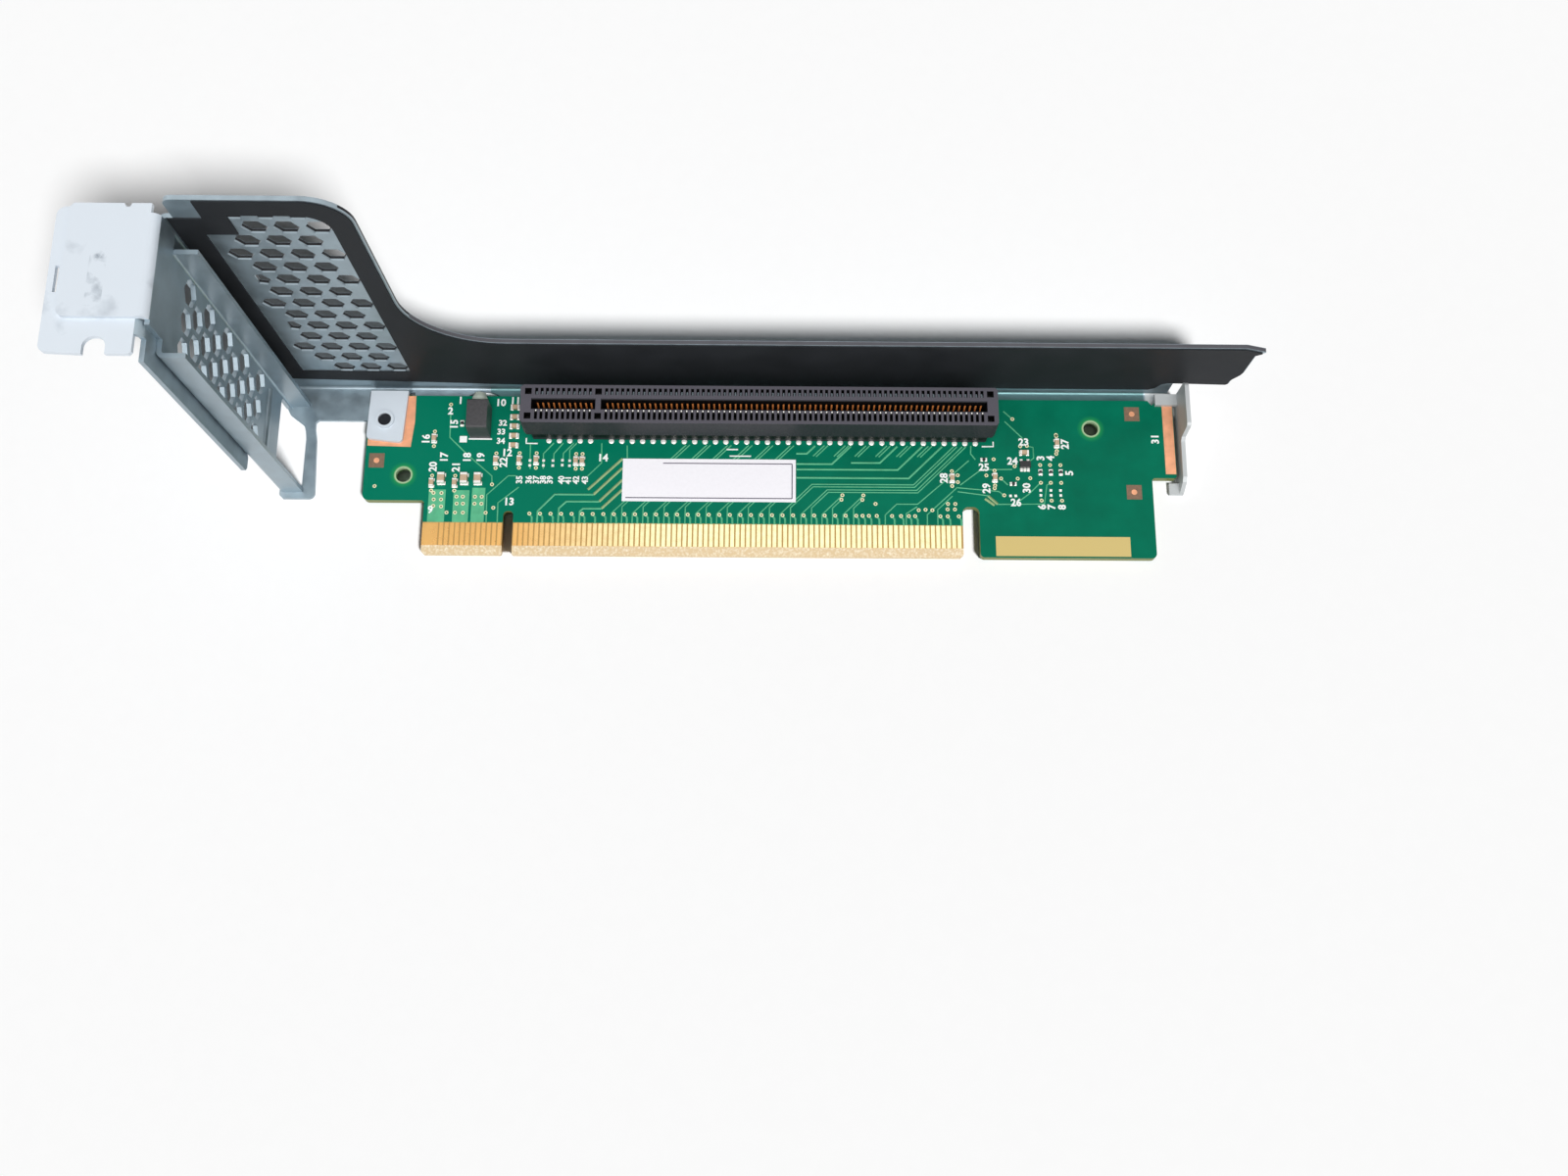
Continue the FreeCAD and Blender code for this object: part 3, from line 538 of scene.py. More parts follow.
def galvanised_sheet():
    # Galvanised steel, rolled and folded: even blue-grey with a faint spangle, whitish on the ledge and the
    # screw tab
    made = surface("galvanised_steel_rolled", colours().steel, metallic=0.8, roughness=0.42,
                   grain=2.5, depth=0.004)
    whitish = within(made, SCREW_TAB)
    ledge = within(made, LEDGE)
    arm = within(made, ARM)
    for mask in (ledge, arm):
        whitish = add(made.node_tree, "ShaderNodeMath", {0: whitish, 1: mask}, operation="MAXIMUM").outputs[0]
    layer(made, whitish, colours().bright, WHITISH_METAL)
    # Painted light: the arm is laid lighter grey, as if lit from the front
    layer(made, arm, colours().arm)
    layer(made, patchy(made, ledge, grain=5.0, low=0.6, high=1.0), colours().smudge)
    # Dark cut edges, painted shade in the far half of the vent holes' walls, painted reflection on the flange
    plain = ((WALL_EDGE, colours().sheared), (VENT_EDGES, colours().torn), (FLANGE_REFLECTION, colours().strip))
    for region, colour in plain:
        layer(made, within(made, region), colour)
    return made


def plated_sheet():
    # Zinc-plated sheet, rolled: smooth grey, its tab whitish with grey finger marks
    made = surface("zinc_plated_sheet", colours().steel, metallic=0.8, roughness=0.38, grain=3.0, depth=0.003)
    tab = within(made, FILLER_TAB)
    layer(made, tab, colours().bright, WHITISH_METAL)
    layer(made, patchy(made, tab, grain=5.0, low=0.6, high=1.0), colours().smudge)
    mark = within(made, FILLER_MARK)
    layer(made, patchy(made, mark, grain=2.4, low=0.5, high=0.8), colours().smudge)
    spot = around(made, FILLER_SPOT, near=0.3, far=1.0)
    layer(made, patchy(made, spot, grain=0.9, low=0.35, high=0.6), colours().smudge)
    return made


def polyester_film():
    # Black polyester film, calendered: near black with a soft sheen and a little dust
    made = surface("polyester_film_black", colours().film, roughness=0.5,
                   grain=6.0, spread=0.15, depth=0.003, Specular_IOR_Level=0.05)
    layer(made, patchy(made, within(made, WHOLE_FILM), grain=0.8, low=0.74, high=0.8), colours().dust)
    return made


def masked_laminate():
    # Glass-epoxy laminate under solder mask: deep green, bare tan with a glass weave at the ground edge
    made = surface("glass_epoxy_green_mask", colours().mask, roughness=0.35,
                   grain=7.0, spread=0.12, depth=0.003, Specular_IOR_Level=0.1)
    layer(made, leftward(made, *GREEN_FADE), colours().mask_left)
    layer(made, within(made, BOARD_SIDES), colours().cut)
    for mount in frame["record"]["mounts"]:
        if mount["kind"] == "bore":
            middle = [c / MM for c in mount["pos_m"][:2]]
            edge = mount["dims"]["r_mm"]
            layer(made, around(made, middle, edge + HALO_NEAR, edge + HALO_FAR), colours().halo)
            layer(made, around(made, middle, edge + RIM_NEAR, edge + RIM_FAR), colours().rim)
    layer(made, within(made, FOOT_STRIP), colours().bronze)
    layer(made, within(made, LAND_FIELD), colours().laminate)
    bevel = within(made, BEVEL)
    layer(made, bevel, colours().bevel)
    # The weave is 0.2 mm on a real board, drawn at 0.45 mm so that it shows
    layer(made, patchy(made, bevel, grain=0.45, low=0.46, high=0.74), colours().weave)
    return made


def gold_plate():
    # Hard gold over nickel, plated: warm bright yellow, laid darker and more orange towards the left end as
    # painted shade
    made = surface("hard_gold_plate", colours().gold, metallic=1.0, roughness=0.3, grain=1.2, spread=0.06)
    layer(made, leftward(made, *GOLD_FADE), colours().gold_worn)
    return made


def spring_gold(column):
    # Gold flash on copper alloy, stamped: a thin orange blade down each contact, laid near black either side
    # as painted shade in the dark mouth
    made = surface("spring_contact_gold_flash", colours().spring_side, metallic=0.3, roughness=0.35,
                   grain=0.8, spread=0.08)
    layer(made, striped(made, within(made, WHOLE_CONTACT), column, BLADE_HALF), colours().spring)
    return made


def dull_nickel():
    # Nickel, plated: dull grey ends of the contacts in the upper windows
    return surface("nickel_plate_dull", colours().steel, metallic=0.3, roughness=0.45, grain=0.4, spread=0.08)


def bare_copper():
    # Copper with a clear preservative, etched: pink-orange, slightly blotched
    return surface("copper_preserved", colours().copper, metallic=0.35, roughness=0.45,
                   grain=1.6, depth=0.003)


def window_laminate():
    # Bare laminate in a mask window: dull brown
    return surface("laminate_window", colours().pad, roughness=0.55, grain=0.5, spread=0.14, depth=0.004)


def masked_copper():
    # Copper under solder mask: a lighter green, raised a little
    return surface("mask_over_copper", colours().copper_green, roughness=0.35,
                   grain=1.5, Specular_IOR_Level=0.2)


def masked_power():
    # Wide copper under thin mask: pale yellow-green
    return surface("mask_over_power_trace", colours().power_green, roughness=0.38,
                   grain=1.5, spread=0.12, Specular_IOR_Level=0.2)


def tinned():
    # Solder, reflowed: bright silver-white with soft ripples
    return surface("solder_tin_reflowed", colours().tin, metallic=0.35, roughness=0.32,
                   grain=0.4, spread=0.05, depth=0.004)


def via_copper():
    # Tented via: tan copper ring through the mask
    return surface("via_ring_tented", colours().ring, metallic=0.1, roughness=0.45, grain=0.4)


def via_dark():
    # Drilled barrel: dark green-brown as painted shade
    return surface("via_hole_drilled", colours().hole, roughness=0.6, grain=0.3, depth=0.001)


def white_ink():
    # Epoxy ink, screen printed: matt white with a slightly ragged cover
    return surface("epoxy_ink_white", colours().silk, roughness=0.6, grain=0.3, spread=0.03)


def coated_paper():
    # Coated label paper: smooth cool white with a faint fibre
    return surface("paper_coated_white", colours().paper, roughness=0.5, grain=0.6, spread=0.015)


def grey_ink():
    # Thermal print on the label: dull violet-grey
    return surface("thermal_ink_grey", colours().ink, roughness=0.6, grain=0.3, depth=0.001)


def slot_nylon(columns):
    # Glass-filled nylon, moulded: charcoal with a fine grain, its top laid paler as painted light, painted
    # shade inside the mouth and the windows and past the lower windows' cut ends, tin at their ends
    made = surface("nylon_glass_filled_black", colours().slot, roughness=0.5,
                   grain=0.5, spread=0.2, depth=0.004, Specular_IOR_Level=0.2)
    # Painted light: the top face is laid paler
    layer(made, within(made, SLOT_TOP), colours().slot_top)
    # Painted shade inside the mouth and the windows
    for span in SLOT_ROWS.values():
        layer(made, within(made, {"Y": span, **SLOT_INSIDE}), colours().shade)
    # Painted shade: dark stripes drawn on the top face past each lower window's cut end, each with a
    # tin-white tip
    ends = ((WINDOW_END, WINDOW_HALF, colours().shade), (WINDOW_TIN, TIN_HALF, colours().tin))
    # The contacts stand in two groups, either side of the key
    key = max(range(1, len(columns)), key=lambda k: columns[k] - columns[k - 1])
    for group in (columns[:key], columns[key:]):
        span = (group[0] - PITCH / 2, group[-1] + PITCH / 2)
        for region, half, colour in ends:
            mask = within(made, {"X": span, **region})
            layer(made, striped(made, mask, columns[0], half), colour)
    return made


def holder_nylon():
    # Nylon, moulded: dark grey with a fine grain
    return surface("nylon_moulded_grey", colours().holder, roughness=0.38,
                   grain=0.5, spread=0.15, depth=0.004)


def diffused_epoxy():
    # Diffused epoxy, cast: milky and smooth
    return surface("epoxy_diffused_cast", colours().lens, roughness=0.25,
                   grain=1.2, spread=0.05, Transmission_Weight=0.3)


def fired_ceramic():
    # Barium titanate ceramic, fired: matt tan
    return surface("ceramic_fired_tan", colours().ceramic, roughness=0.45, grain=0.25, depth=0.003)


def moulded_epoxy():
    # Epoxy, transfer moulded: black with a fine matt grain
    return surface("epoxy_moulded_black", colours().resin, roughness=0.45,
                   grain=0.25, spread=0.2, depth=0.004)


def blackened_screw():
    # Steel, phosphated: dark grey with dull facets
    return surface("steel_phosphated_screw", colours().screw, metallic=0.8, roughness=0.4,
                   grain=0.4, spread=0.15, depth=0.004)


# Heights over the board's front face, so that what lies on top shows on top
WIDE_RISE, FINE_RISE, HOOK_RISE, AREA_RISE = 0.002, 0.004, 0.006, 0.008
LINE_RISE, RING_RISE, LAND_RISE, FIGURE_RISE, HOLE_RISE = 0.014, 0.02, 0.022, 0.024, 0.026
JOINT_RISE, DOT_RISE = 0.05, 0.06


class RISER_OT_bracket(bpy.types.Operator):
    """Gives the bracket, the filler and the screw their metal"""
    bl_idname = "riser.bracket"
    bl_label = "Bracket and filler"

    def execute(self, context):
        wear("bracket", galvanised_sheet())
        wear("slot_filler", plated_sheet())
        wear("board_screw", blackened_screw())
        return {"FINISHED"}


class RISER_OT_film(bpy.types.Operator):
    """Gives the insulating film its black sheen"""
    bl_idname = "riser.film"
    bl_label = "Insulating film"

    def execute(self, context):
        wear("insulator_film", polyester_film())
        return {"FINISHED"}


class RISER_OT_board(bpy.types.Operator):
    """Gives the board its mask, gold and bare copper"""
    bl_idname = "riser.board"
    bl_label = "Board and lands"

    def execute(self, context):
        wear("circuit_board", masked_laminate())
        gold = gold_plate()
        for name in ("edge_contacts_front", "edge_contacts_back"):
            wear(name, gold)
        copper = bare_copper()
        for name in ("ground_pad_left", "ground_pad_right"):
            wear(name, copper)
        wear("test_pads", window_laminate())
        dots = [((x0 + x1) / 2, (y0 + y1) / 2) for x0, x1, y0, y1 in islands("test_pads")]
        discs("test_dots", dots, sizes().test_dot, copper, DOT_RISE)
        return {"FINISHED"}


# Levels along Y: the lands' tops, the bend and the via of a hook, and the foot of the slot
LAND_TOP, HOOK_BEND, VIA_ROW, SLOT_FOOT = 6.2, 7.4, 8.1, 22.2

# Vias: X of the row over the card edge, then singles
ROW_VIAS = list(range(4, 67, 2)) + [67.2, 68.4, 69.9, 72.8, 74.5, 76.0, 77.2, 82.0, 83.4, 85.5]
LOOSE_VIAS = [
    (-14.4, 12.1), (-12.9, 12.1), (-14.3, 10.8), (-12.9, 10.8), (-14.3, 9.5), (-12.8, 9.4), (-10.0, 11.4),
    (-8.8, 11.4), (-9.9, 10.0), (-8.7, 10.0), (-6.5, 11.4), (-5.2, 11.4), (-6.5, 10.0), (-5.2, 10.0),
    (-11.7, 8.2), (-10.1, 8.2), (-8.6, 8.2), (-4.3, 8.2), (-2.9, 9.2), (-3.4, 13.9), (-12.2, 30.2),
    (-25.7, 13.4), (97.7, 22.4), (99.0, 22.5), (104.7, 24.8), (104.6, 20.9), (92.5, 19.7), (96.5, 18.3),
    (99.4, 15.9), (93.8, 15.8), (97.0, 15.8), (92.5, 13.8), (94.3, 12.4), (85.5, 16.4), (85.5, 15.0),
    (83.5, 10.6), (84.9, 10.6), (83.4, 9.5), (84.8, 9.5), (77.9, 9.3), (79.2, 9.4), (80.5, 9.3),
    (69.7, 10.5), (96.4, 28.0), (91.0, 16.4), (63.4, 12.2), (63.2, 11.3), (67.4, 12.2), (67.2, 11.3),
] + [(x, y) for x in (101.4, 103.3, 105.3) for y in (18.6, 15.0, 11.4)]

# Single traces
FINE_RUNS = [
    [(-4.1, 6.2), (-4.3, 11.8), (-0.4, 15.7), (1.1, 15.7)], [(-2.0, 6.2), (-2.1, 10.2), (1.7, 13.4)],
    [(-12.2, 30.2), (-12.0, 23.4), (-8.4, 19.9), (-3.5, 15.6), (-3.4, 13.9)],
    [(8.0, 22.4), (6.1, 20.2), (6.2, 17.1)], [(9.8, 22.4), (8.1, 20.2), (8.1, 18.6)],
    [(11.8, 22.4), (9.9, 20.3), (9.9, 18.6)], [(12.4, 22.4), (11.1, 21.0), (11.2, 18.6)],
    [(3.5, 22.4), (3.7, 17.1)], [(17.2, 22.4), (17.3, 18.4), (14.7, 15.7)], [(22.1, 22.0), (22.2, 19.4)],
    [(89.0, 19.6), (88.1, 20.8), (88.2, 22.4)], [(85.9, 14.4), (90.0, 17.6), (96.0, 17.7)],
    [(94.9, 27.5), (98.2, 24.1)], [(94.7, 29.6), (96.4, 28.0)],
    [(99.0, 22.5), (100.2, 22.2), (100.2, 20.0), (99.3, 19.3)],
    [(96.9, 11.1), (99.0, 12.7), (101.3, 15.0)],
    [(93.0, 10.6), (101.9, 10.7), (102.5, 14.5), (103.3, 15.0)],
    [(85.4, 13.9), (93.3, 13.2), (94.3, 12.4)], [(85.4, 13.1), (91.4, 12.3)],
    [(93.8, 15.8), (95.1, 14.5)], [(71.5, 6.2), (71.5, 8.3), (73.7, 10.5), (77.7, 10.5), (87.7, 19.4)],
    [(75.5, 6.2), (75.5, 8.6), (77.6, 10.0)], [(79.5, 6.2), (79.5, 8.4), (85.4, 14.0)],
    [(81.5, 6.2), (81.5, 9.4), (84.4, 12.2)],
]
WIDE_RUNS = [
    [(14.9, 13.0), (21.3, 19.3)], [(16.0, 12.0), (21.3, 17.4)], [(17.1, 10.6), (21.4, 15.0)],
    [(17.6, 9.2), (21.4, 13.0)], [(91.2, 12.3), (93.0, 10.6)], [(90.6, 11.7), (92.4, 10.4)],
]
NESTED_RUNS = [
    [(5.5, 6.2), (5.5, 8.6), (8.6, 12.0), (16.0, 12.0)],
    [(9.5, 6.2), (9.5, 9.2), (10.9, 10.6), (17.1, 10.6)],
    [(13.5, 6.2), (13.5, 8.6), (14.1, 9.2), (17.6, 9.2)], [(54.6, 20.6), (56.6, 20.6), (58.2, 22.2)],
    [(54.6, 18.5), (61.4, 18.5), (65.1, 22.2)], [(65.1, 18.8), (70.6, 18.8), (74.0, 22.2)],
    [(54.6, 17.4), (74.0, 17.4), (78.8, 22.2)], [(54.6, 15.7), (76.1, 15.7), (82.6, 22.2)],
]
# Signal pairs: X of the first, step to the next, from a pair's first land to its second, and their bends' Y
PAIR_START, PAIR_STEP, PAIR_LANDS = 19.5, 4, 2
FIRST_BEND, SECOND_BEND = 8.3, 9.6
# From left to right: top of the slant, how far below it the second trace stays, X where a level run turns up
PAIR_TOPS = 6 * [(SLOT_FOOT, 0.0, None)] + 2 * [(14.4, 0.0, None)] + [(14.4, 0.5, 77.0), (13.3, 0.5, 77.6)]
PAIR_TOPS += 2 * [(12.2, 0.9, None)]
TURN_SHIFT = 0.4  # how much later the second trace turns up, for each millimetre that it lies lower
# Short pairs that slant down from the slot's pins: X of each, and the two traces from there
STUB_PLACES = range(60, 84, 4)
STUB_PAIR = [[(0.0, 22.3), (-2.2, 20.1)], [(0.7, 22.3), (-1.6, 20.0)]]

# Copper under the mask: low x, high x, low y, high y
COPPER_AREAS = [(-15.3, -12.1, 6.3, 12.8), (-10.6, -7.6, 6.3, 12.7), (-7.1, -4.6, 6.3, 13.2)]


def paired_runs():
    """Signal pairs from the card edge: up from two lands, then slantwise, half a millimetre apart."""
    runs = []
    for k, (top, drop, turn) in enumerate(PAIR_TOPS):
        x = PAIR_START + PAIR_STEP * k
        for foot, bend, level in ((x, FIRST_BEND, top), (x + PAIR_LANDS, SECOND_BEND, top - drop)):
            run = [(foot, LAND_TOP), (foot, bend), (foot + level - bend, level)]
            if turn:
                corner = turn + TURN_SHIFT * (top - level)
                run += [(corner, level), (corner + SLOT_FOOT - level, SLOT_FOOT)]
            runs.append(run)
    for x in STUB_PLACES:
        runs += [[(x + across, y) for across, y in stub] for stub in STUB_PAIR]
    return runs


CHIP_VIA = 1.0  # from a chip's body to the via beyond its end


def chip_vias(node):
    """A via above each upright chip, and one below each small one."""
    places = []
    for x0, x1, y0, y1 in islands(node):
        if y1 - y0 > x1 - x0:
            places.append(((x0 + x1) / 2, y1 + CHIP_VIA))
            if node == "capacitors_small":
                places.append(((x0 + x1) / 2, y0 - CHIP_VIA))
    return places


class RISER_OT_traces(bpy.types.Operator):
    """Lays the traces, copper areas and vias on the board"""
    bl_idname = "riser.traces"
    bl_label = "Traces and vias"

    def execute(self, context):
        lands = [(x, x + PITCH / 2) for x in ROW_VIAS]
        hooks = [[(x, VIA_ROW), (land, HOOK_BEND), (land, LAND_TOP)] for x, land in lands]
        green = masked_copper()
        strips("fine_traces", FINE_RUNS + paired_runs(), sizes().trace, green, FINE_RISE)
        strips("hook_traces", hooks + NESTED_RUNS, sizes().hook, green, HOOK_RISE)
        strips("wide_traces", WIDE_RUNS, sizes().wide_trace, masked_power(), WIDE_RISE)
        patches("copper_areas", COPPER_AREAS, green, AREA_RISE)
        places = [(x, VIA_ROW) for x in ROW_VIAS] + LOOSE_VIAS
        places += chip_vias("capacitors_small") + chip_vias("capacitors_large")
        discs("via_rings", places, sizes().via_ring, via_copper(), RING_RISE)
        discs("via_holes", places, sizes().via_hole, via_dark(), HOLE_RISE)
        return {"FINISHED"}


# Places of the printed numbers, a plain count: X, Y and quarter turns
NUMBER_PLACES = [
    (-10.4, 31.0, 0), (-12.2, 28.8, 0), (101.6, 20.0, 1), (103.5, 20.0, 1), (107.0, 17.0, 1),
    (101.5, 10.1, 1), (103.3, 10.1, 1), (105.3, 10.1, 1), (-14.8, 8.7, 0), (-2.6, 30.6, 0),
    (0.2, 31.0, 0), (-0.9, 20.3, 0), (0.0, 10.4, 0), (17.5, 19.4, 0), (-11.3, 26.1, 1), (-16.5, 23.0, 1),
    (-12.8, 19.3, 1), (-8.4, 19.3, 1), (-5.8, 19.3, 1), (-14.8, 17.4, 1), (-10.4, 17.4, 1),
    (-1.4, 18.4, 1), (98.4, 23.2, 0), (96.1, 19.3, 0), (90.6, 18.0, 0), (96.5, 10.9, 0), (106.4, 22.9, 1),
    (82.9, 15.8, 1), (91.0, 13.8, 1), (98.7, 13.9, 1), (123.9, 24.1, 1),
]
SMALL_PLACES = [(-2.0, 26.4, 0), (-2.2, 24.6, 0), (-2.2, 22.7, 0)]
SMALL_PLACES += [(x, 14.9, 1) for x in (1.8, 3.6, 5.0, 6.3, 7.6, 9.8, 11.1, 12.6, 14.3)]
LINES = [
    [(-8.4, 23.15), (-3.9, 23.15)], [(2.7, 23.4), (2.7, 22.3), (4.9, 22.3)],
    [(90.3, 22.3), (92.5, 22.3), (92.5, 23.3)], [(41.2, 21.35), (43.4, 21.35)],
    [(41.8, 20.0), (45.9, 20.0)],
]
SQUARE = (-10.1, -8.7, 22.4, 23.7)
FIGURE_SCALE = 1.35  # font size over the height of a figure


class RISER_OT_print(bpy.types.Operator):
    """Prints plain numbers and lines on the board"""
    bl_idname = "riser.print"
    bl_label = "Board print"

    def execute(self, context):
        ink = white_ink()
        pieces = bmesh.new()
        for count, (x, y, turns) in enumerate(NUMBER_PLACES + SMALL_PLACES, 1):
            height = sizes().figure if count <= len(NUMBER_PLACES) else sizes().small_figure
            curve = bpy.data.curves.new("figure", "FONT")
            curve.body = str(count)
            curve.size = height * FIGURE_SCALE
            curve.align_x = curve.align_y = "CENTER"
            curve.resolution_u = 2
            curve.offset = sizes().stroke * height / sizes().figure
            mesh = baked(placed("figure", curve))
            place = Matrix.Translation(Vector((x, y, FIGURE_RISE)) * MM)
            mesh.transform(place @ Matrix.Rotation(math.pi / 2 * turns, 4, "Z"))
            pieces.from_mesh(mesh)
            bpy.data.meshes.remove(mesh)
        mesh = bpy.data.meshes.new("printed_numbers")
        pieces.to_mesh(mesh)
        pieces.free()
        seat("printed_numbers", mesh, ink)
        strips("printed_lines", LINES, sizes().print_line, ink, LINE_RISE)
        patches("printed_square", [SQUARE], ink, FIGURE_RISE)
        return {"FINISHED"}


# Slot: solder from the housing's front side, tips along Y and below the housing's top
JOINT_INSET, TIP_ROW, TIP_DEPTH = 0.67, 28.25, 0.6
JOINT_FLATNESS = 0.22  # height of a solder drop over its radius
TIP_LEAN = 1.1  # radians


class RISER_OT_slot(bpy.types.Operator):
    """Gives the slot its plastic, contacts, tips and solder"""
    bl_idname = "riser.slot"
    bl_label = "Card slot"

    def execute(self, context):
        columns = sorted((x0 + x1) / 2 for x0, x1, y0, y1 in islands("slot_contacts_lower"))
        wear("slot_housing", slot_nylon(columns))
        springs = spring_gold(columns[0])
        for name in ("slot_contacts_upper", "slot_contacts_lower"):
            wear(name, springs)
        low, high = [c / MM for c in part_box("slot_housing")]
        joints = [(x, low.y + JOINT_INSET, JOINT_RISE) for x in columns[1::2]]
        solder, radius = tinned(), sizes().joint
        mesh = grown(sketch(joints), drop_tree(), {
            "Radius": radius, "Height": radius * JOINT_FLATNESS, "Material": solder})
        seat("slot_solder", mesh, solder)
        nickel = dull_nickel()
        mesh = grown(sketch([(x, TIP_ROW, high.z - TIP_DEPTH) for x in columns]), tip_tree(), {
            "Width": sizes().tip_width, "Thickness": sizes().tip_thickness, "Height": sizes().tip_height,
            "Lean": TIP_LEAN, "Material": nickel})
        seat("upper_tips", mesh, nickel)
        return {"FINISHED"}


# Chip places left empty, and the near and far ends of their pairs of lands from the middle
EMPTY_UPRIGHT = [
    (3.6, 18.3), (6.2, 18.3), (8.0, 18.3), (9.8, 18.4), (11.2, 18.3),
    (101.3, 12.95), (103.25, 12.95), (105.1, 12.95),
]
EMPTY_LEVEL = (96.0, 12.3)
LAND_NEAR, LAND_FAR = 0.25, 0.75


class RISER_OT_chips(bpy.types.Operator):
    """Gives the chips, the regulator and the light their materials and lands"""
    bl_idname = "riser.chips"
    bl_label = "Chips and light"

    def execute(self, context):
        ceramic, epoxy = fired_ceramic(), moulded_epoxy()
        for name in ("capacitors_large", "capacitors_small"):
            wear(name, ceramic)
        for name in ("resistors", "regulator_body"):
            wear(name, epoxy)
        wear("led_holder", holder_nylon())
        wear("led_lens", diffused_epoxy())
        lands = []
        solder = tinned()
        margin = sizes().land_margin / MM
        near, far = LAND_NEAR, LAND_FAR
        for name in ("capacitor_ends_large", "capacitor_ends_small", "resistor_ends", "regulator_leads"):
            wear(name, solder)
            for x0, x1, y0, y1 in islands(name):
                lands.append((x0 - margin, x1 + margin, y0 - margin, y1 + margin))
        for x, y in EMPTY_UPRIGHT:
            lands += [(x - near, x + near, y + near, y + far), (x - near, x + near, y - far, y - near)]
        x, y = EMPTY_LEVEL
        lands += [(x - far, x - near, y - near, y + near), (x + near, x + far, y - near, y + near)]
        patches("chip_lands", lands, solder, LAND_RISE)
        return {"FINISHED"}


# Frame printed on the label: in from its edges, where the top line starts, over the paper
FRAME_SIDE, FRAME_TOP, FRAME_START, FRAME_RISE = 0.7, 0.9, 7.0, 0.01


class RISER_OT_label(bpy.types.Operator):
    """Gives the label its paper and thin frame"""
    bl_idname = "riser.label"
    bl_label = "Label"

    def execute(self, context):
        wear("label", coated_paper())
        low, high = [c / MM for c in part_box("label")]
        x0, x1 = low.x + FRAME_SIDE, high.x - FRAME_SIDE
        y0, y1 = low.y + FRAME_SIDE, high.y - FRAME_TOP
        border = [[(x0, y0), (x1, y0)], [(x1, y0), (x1, y1)], [(x0 + FRAME_START, y1), (x1, y1)]]
        strips("label_frame", border, sizes().label_line, grey_ink(), high.z + FRAME_RISE)
        return {"FINISHED"}


# Camera: sensor width, and nearest distance seen in metres
SENSOR, NEAREST = 36.0, 0.01
# In metres: how far the floor reaches from the origin, and the point that the lamps face
FLOOR_REACH = 2.0
AIM = Vector((0.03, 0.02, 0.015))
# Lamps on the card: place and width in metres
CARD_LAMPS = {
    "key": ((0.13, -0.53, 1.41), 0.8),
    "fill": ((0.75, -0.95, 0.9), 0.7),
    "side": ((-0.75, -0.6, 0.9), 0.7),
    "rear": ((-0.8, 0.9, 0.9), 0.7),
}
# Light on the floor: the way it comes from, and how wide its source looks
GROUND_PLACE, GROUND_ANGLE = (0.6, -0.75, 1.29), math.radians(10)
# Shade cards in the perforated sheets, the board's holes and the key: low and high corner
SHADE_CARDS = {
    "vent_card": ((-43.0, 35.15, 4.0), (-13.0, 35.15, 68.5)),
    "filler_card": ((-44.25, 13.0, 4.0), (-44.25, 34.0, 64.0)),
    "left_hole_card": ((-22.4, 13.7, -0.8), (-18.4, 17.7, -0.8)),
    "right_hole_card": ((109.5, 24.1, -0.8), (113.5, 28.1, -0.8)),
    "key_card": ((-1.2, 0.2, -0.8), (1.2, 10.5, -0.8)),
}
UNSEEN_BY = ("camera", "diffuse", "glossy", "transmission", "volume_scatter")


def matt_board(colour):
    # Matt painted board: plain pale ground with the shadow on it
    return surface("board_matt_pale", colour, roughness=0.9,
                   grain=3.0, spread=0.004, depth=0.001, Specular_IOR_Level=0.0)


def flat_card(name, low, high, material):
    """Adds a flat piece of the stage, from its low and high corner in metres, level on one axis."""
    first, second = [k for k in range(3) if low[k] != high[k]]
    corners = [list(low), list(low), list(high), list(low)]
    corners[1][first] = high[first]
    corners[3][second] = high[second]
    mesh = bpy.data.meshes.new(name)
    mesh.from_pydata(corners, [], [(0, 1, 2, 3)])
    mesh.materials.append(material)
    made = placed(name, mesh)
    return made


def set_camera(stage):
    """Looks at the card from the stage's camera place."""
    camera = bpy.data.cameras.new("camera")
    camera.lens = stage.lens
    camera.sensor_width = SENSOR
    camera.clip_start = NEAREST
    eye = placed("camera", camera)
    eye.location = stage.place
    eye.rotation_euler = stage.turn
    bpy.context.scene.camera = eye


def receivers(name, floor, state):
    """What a lamp lights: the floor alone, or everything else."""
    group = bpy.data.collections.new(name)
    group.objects.link(floor)
    group.collection_objects[0].light_linking.link_state = state
    return group


def add_lamp(name, kind, strength, place, lit):
    """Adds a lamp that faces the card and lights one group of receivers."""
    lamp = bpy.data.lights.new(name, kind)
    lamp.energy = strength
    made = placed(name, lamp)
    made.location = place
    made.rotation_euler = (AIM - Vector(place)).to_track_quat("-Z", "Y").to_euler()
    made.light_linking.receiver_collection = lit
    return lamp


def set_sky(strength):
    """A weak even light from all round that looks white to the camera and in mirrors."""
    world = bpy.data.worlds.new("sky")
    world.use_nodes = True
    tree = world.node_tree
    tree.nodes.clear()
    path = add(tree, "ShaderNodeLightPath").outputs
    seen = path["Is Camera Ray"]
    for ray in ("Is Glossy Ray", "Is Transmission Ray"):
        seen = add(tree, "ShaderNodeMath", {0: seen, 1: path[ray]}, operation="MAXIMUM").outputs[0]
    level = add(tree, "ShaderNodeMapRange", {"Value": seen, "To Min": strength, "To Max": 1.0})
    light = add(tree, "ShaderNodeBackground", {"Color": (1, 1, 1), "Strength": level.outputs["Result"]})
    add(tree, "ShaderNodeOutputWorld", {"Surface": light.outputs[0]})
    bpy.context.scene.world = world


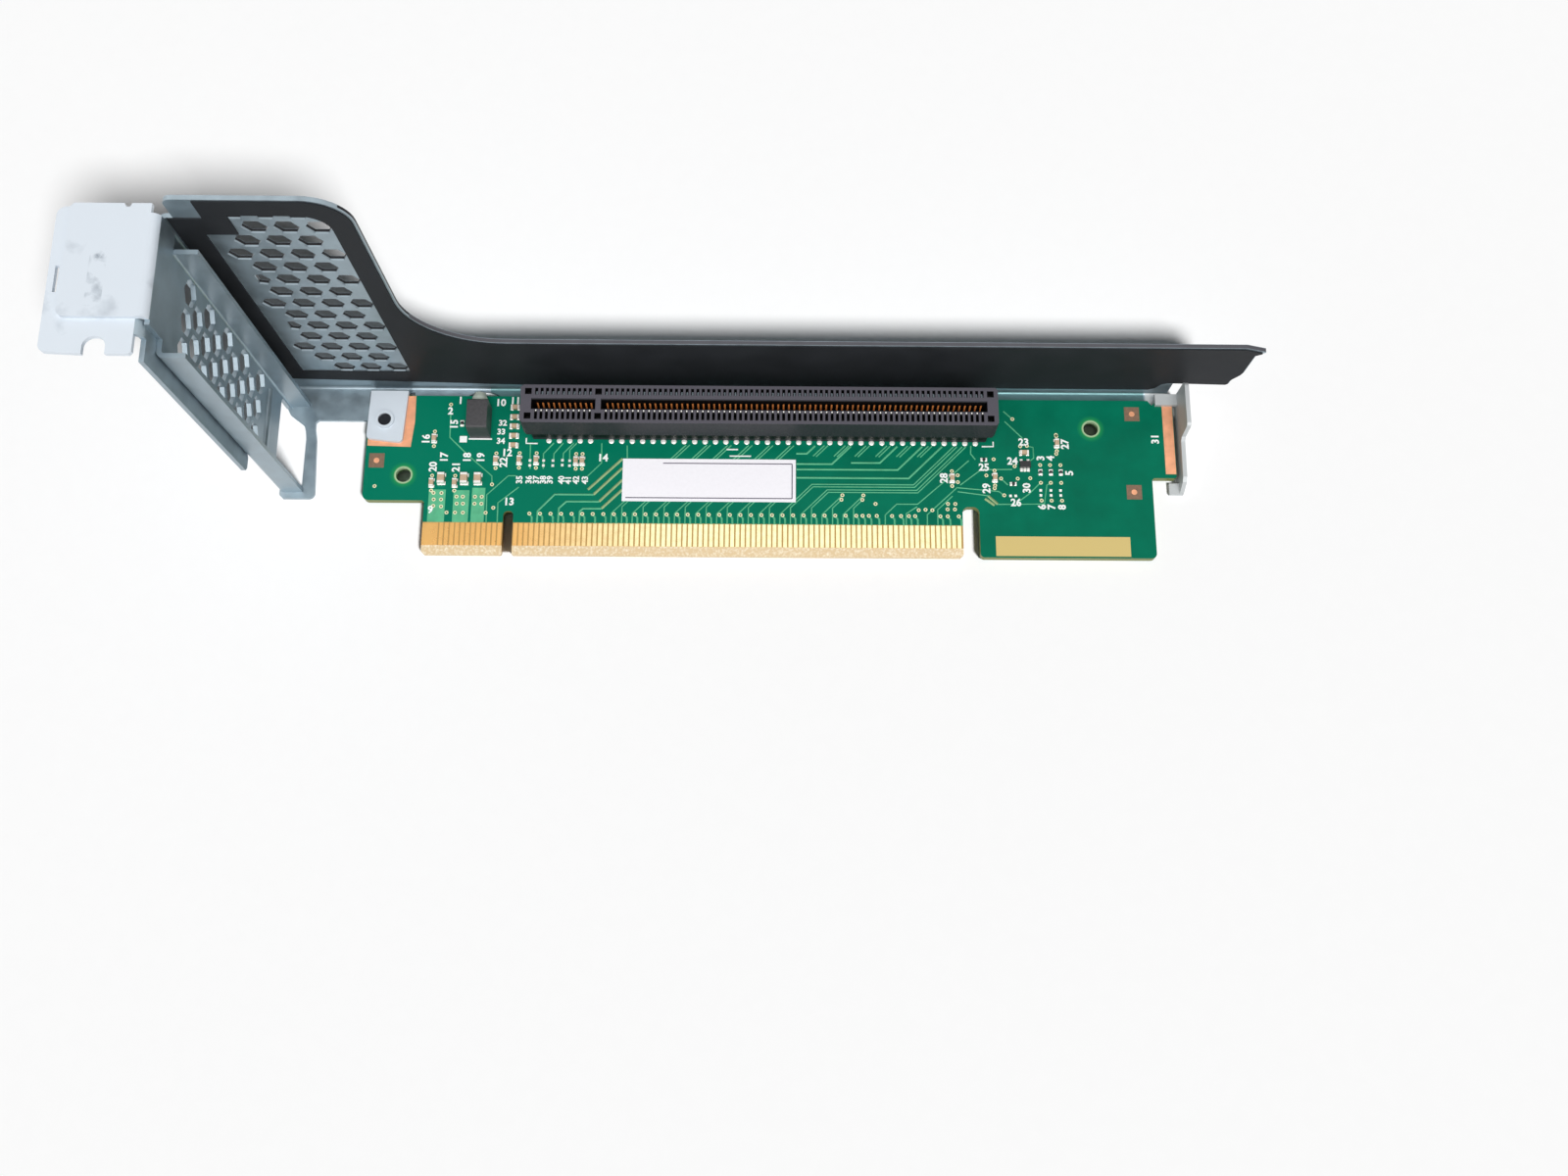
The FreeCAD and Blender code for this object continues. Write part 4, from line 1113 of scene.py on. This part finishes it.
class RISER_OT_stage(bpy.types.Operator):
    """Sets the camera, lamps, floor, shade cards and background"""
    bl_idname = "riser.stage"
    bl_label = "Stage"

    def execute(self, context):
        stage = context.scene.riser_stage
        set_camera(stage)
        matt = matt_board(stage.floor)
        low = CAD_BOX[0][2]
        floor = flat_card("floor", (-FLOOR_REACH, -FLOOR_REACH, low), (FLOOR_REACH, FLOOR_REACH, low), matt)
        # Soft lamps light the card and leave the floor alone; the floor's own light casts the shadow
        floor_only = receivers("floor_only", floor, "INCLUDE")
        all_but_floor = receivers("all_but_floor", floor, "EXCLUDE")
        for name, (place, width) in CARD_LAMPS.items():
            add_lamp(name, "AREA", getattr(stage, name), place, all_but_floor).size = width
        add_lamp("ground", "SUN", stage.ground, GROUND_PLACE, floor_only).angle = GROUND_ANGLE
        # The cards only cast shadow, so that the floor seen through the holes is dark
        for name, (low, high) in SHADE_CARDS.items():
            card = flat_card(name, Vector(low) * MM, Vector(high) * MM, matt)
            for ray in UNSEEN_BY:
                setattr(card, "visible_" + ray, False)
        set_sky(stage.sky)
        context.scene.view_settings.view_transform = "Standard"
        return {"FINISHED"}


OPERATORS = (RISER_OT_bracket, RISER_OT_film, RISER_OT_board, RISER_OT_traces, RISER_OT_print, RISER_OT_slot,
             RISER_OT_chips, RISER_OT_label, RISER_OT_stage)


class RISER_PT_panel(bpy.types.Panel):
    """Lists the steps and the settings"""
    bl_idname = "RISER_PT_panel"
    bl_label = "Riser card"
    bl_space_type = "VIEW_3D"
    bl_region_type = "UI"
    bl_category = "Riser"

    def draw(self, context):
        for step in OPERATORS:
            self.layout.operator(step.bl_idname)
        for group in (context.scene.riser_colours, context.scene.riser_sizes, context.scene.riser_stage):
            for name in group.bl_rna.properties.keys():
                if name not in ("rna_type", "name"):
                    self.layout.prop(group, name)


CLASSES = (RiserColours, RiserSizes, RiserStage, *OPERATORS, RISER_PT_panel)


def register():
    for each in CLASSES:
        bpy.utils.register_class(each)
    bpy.types.Scene.riser_colours = bpy.props.PointerProperty(type=RiserColours)
    bpy.types.Scene.riser_sizes = bpy.props.PointerProperty(type=RiserSizes)
    bpy.types.Scene.riser_stage = bpy.props.PointerProperty(type=RiserStage)


def unregister():
    for name in ("riser_stage", "riser_sizes", "riser_colours"):
        delattr(bpy.types.Scene, name)
    for each in reversed(CLASSES):
        bpy.utils.unregister_class(each)


def main():
    register()
    for step in OPERATORS:
        group, name = step.bl_idname.split(".")
        getattr(getattr(bpy.ops, group), name)()


if __name__ == "__main__":
    main()
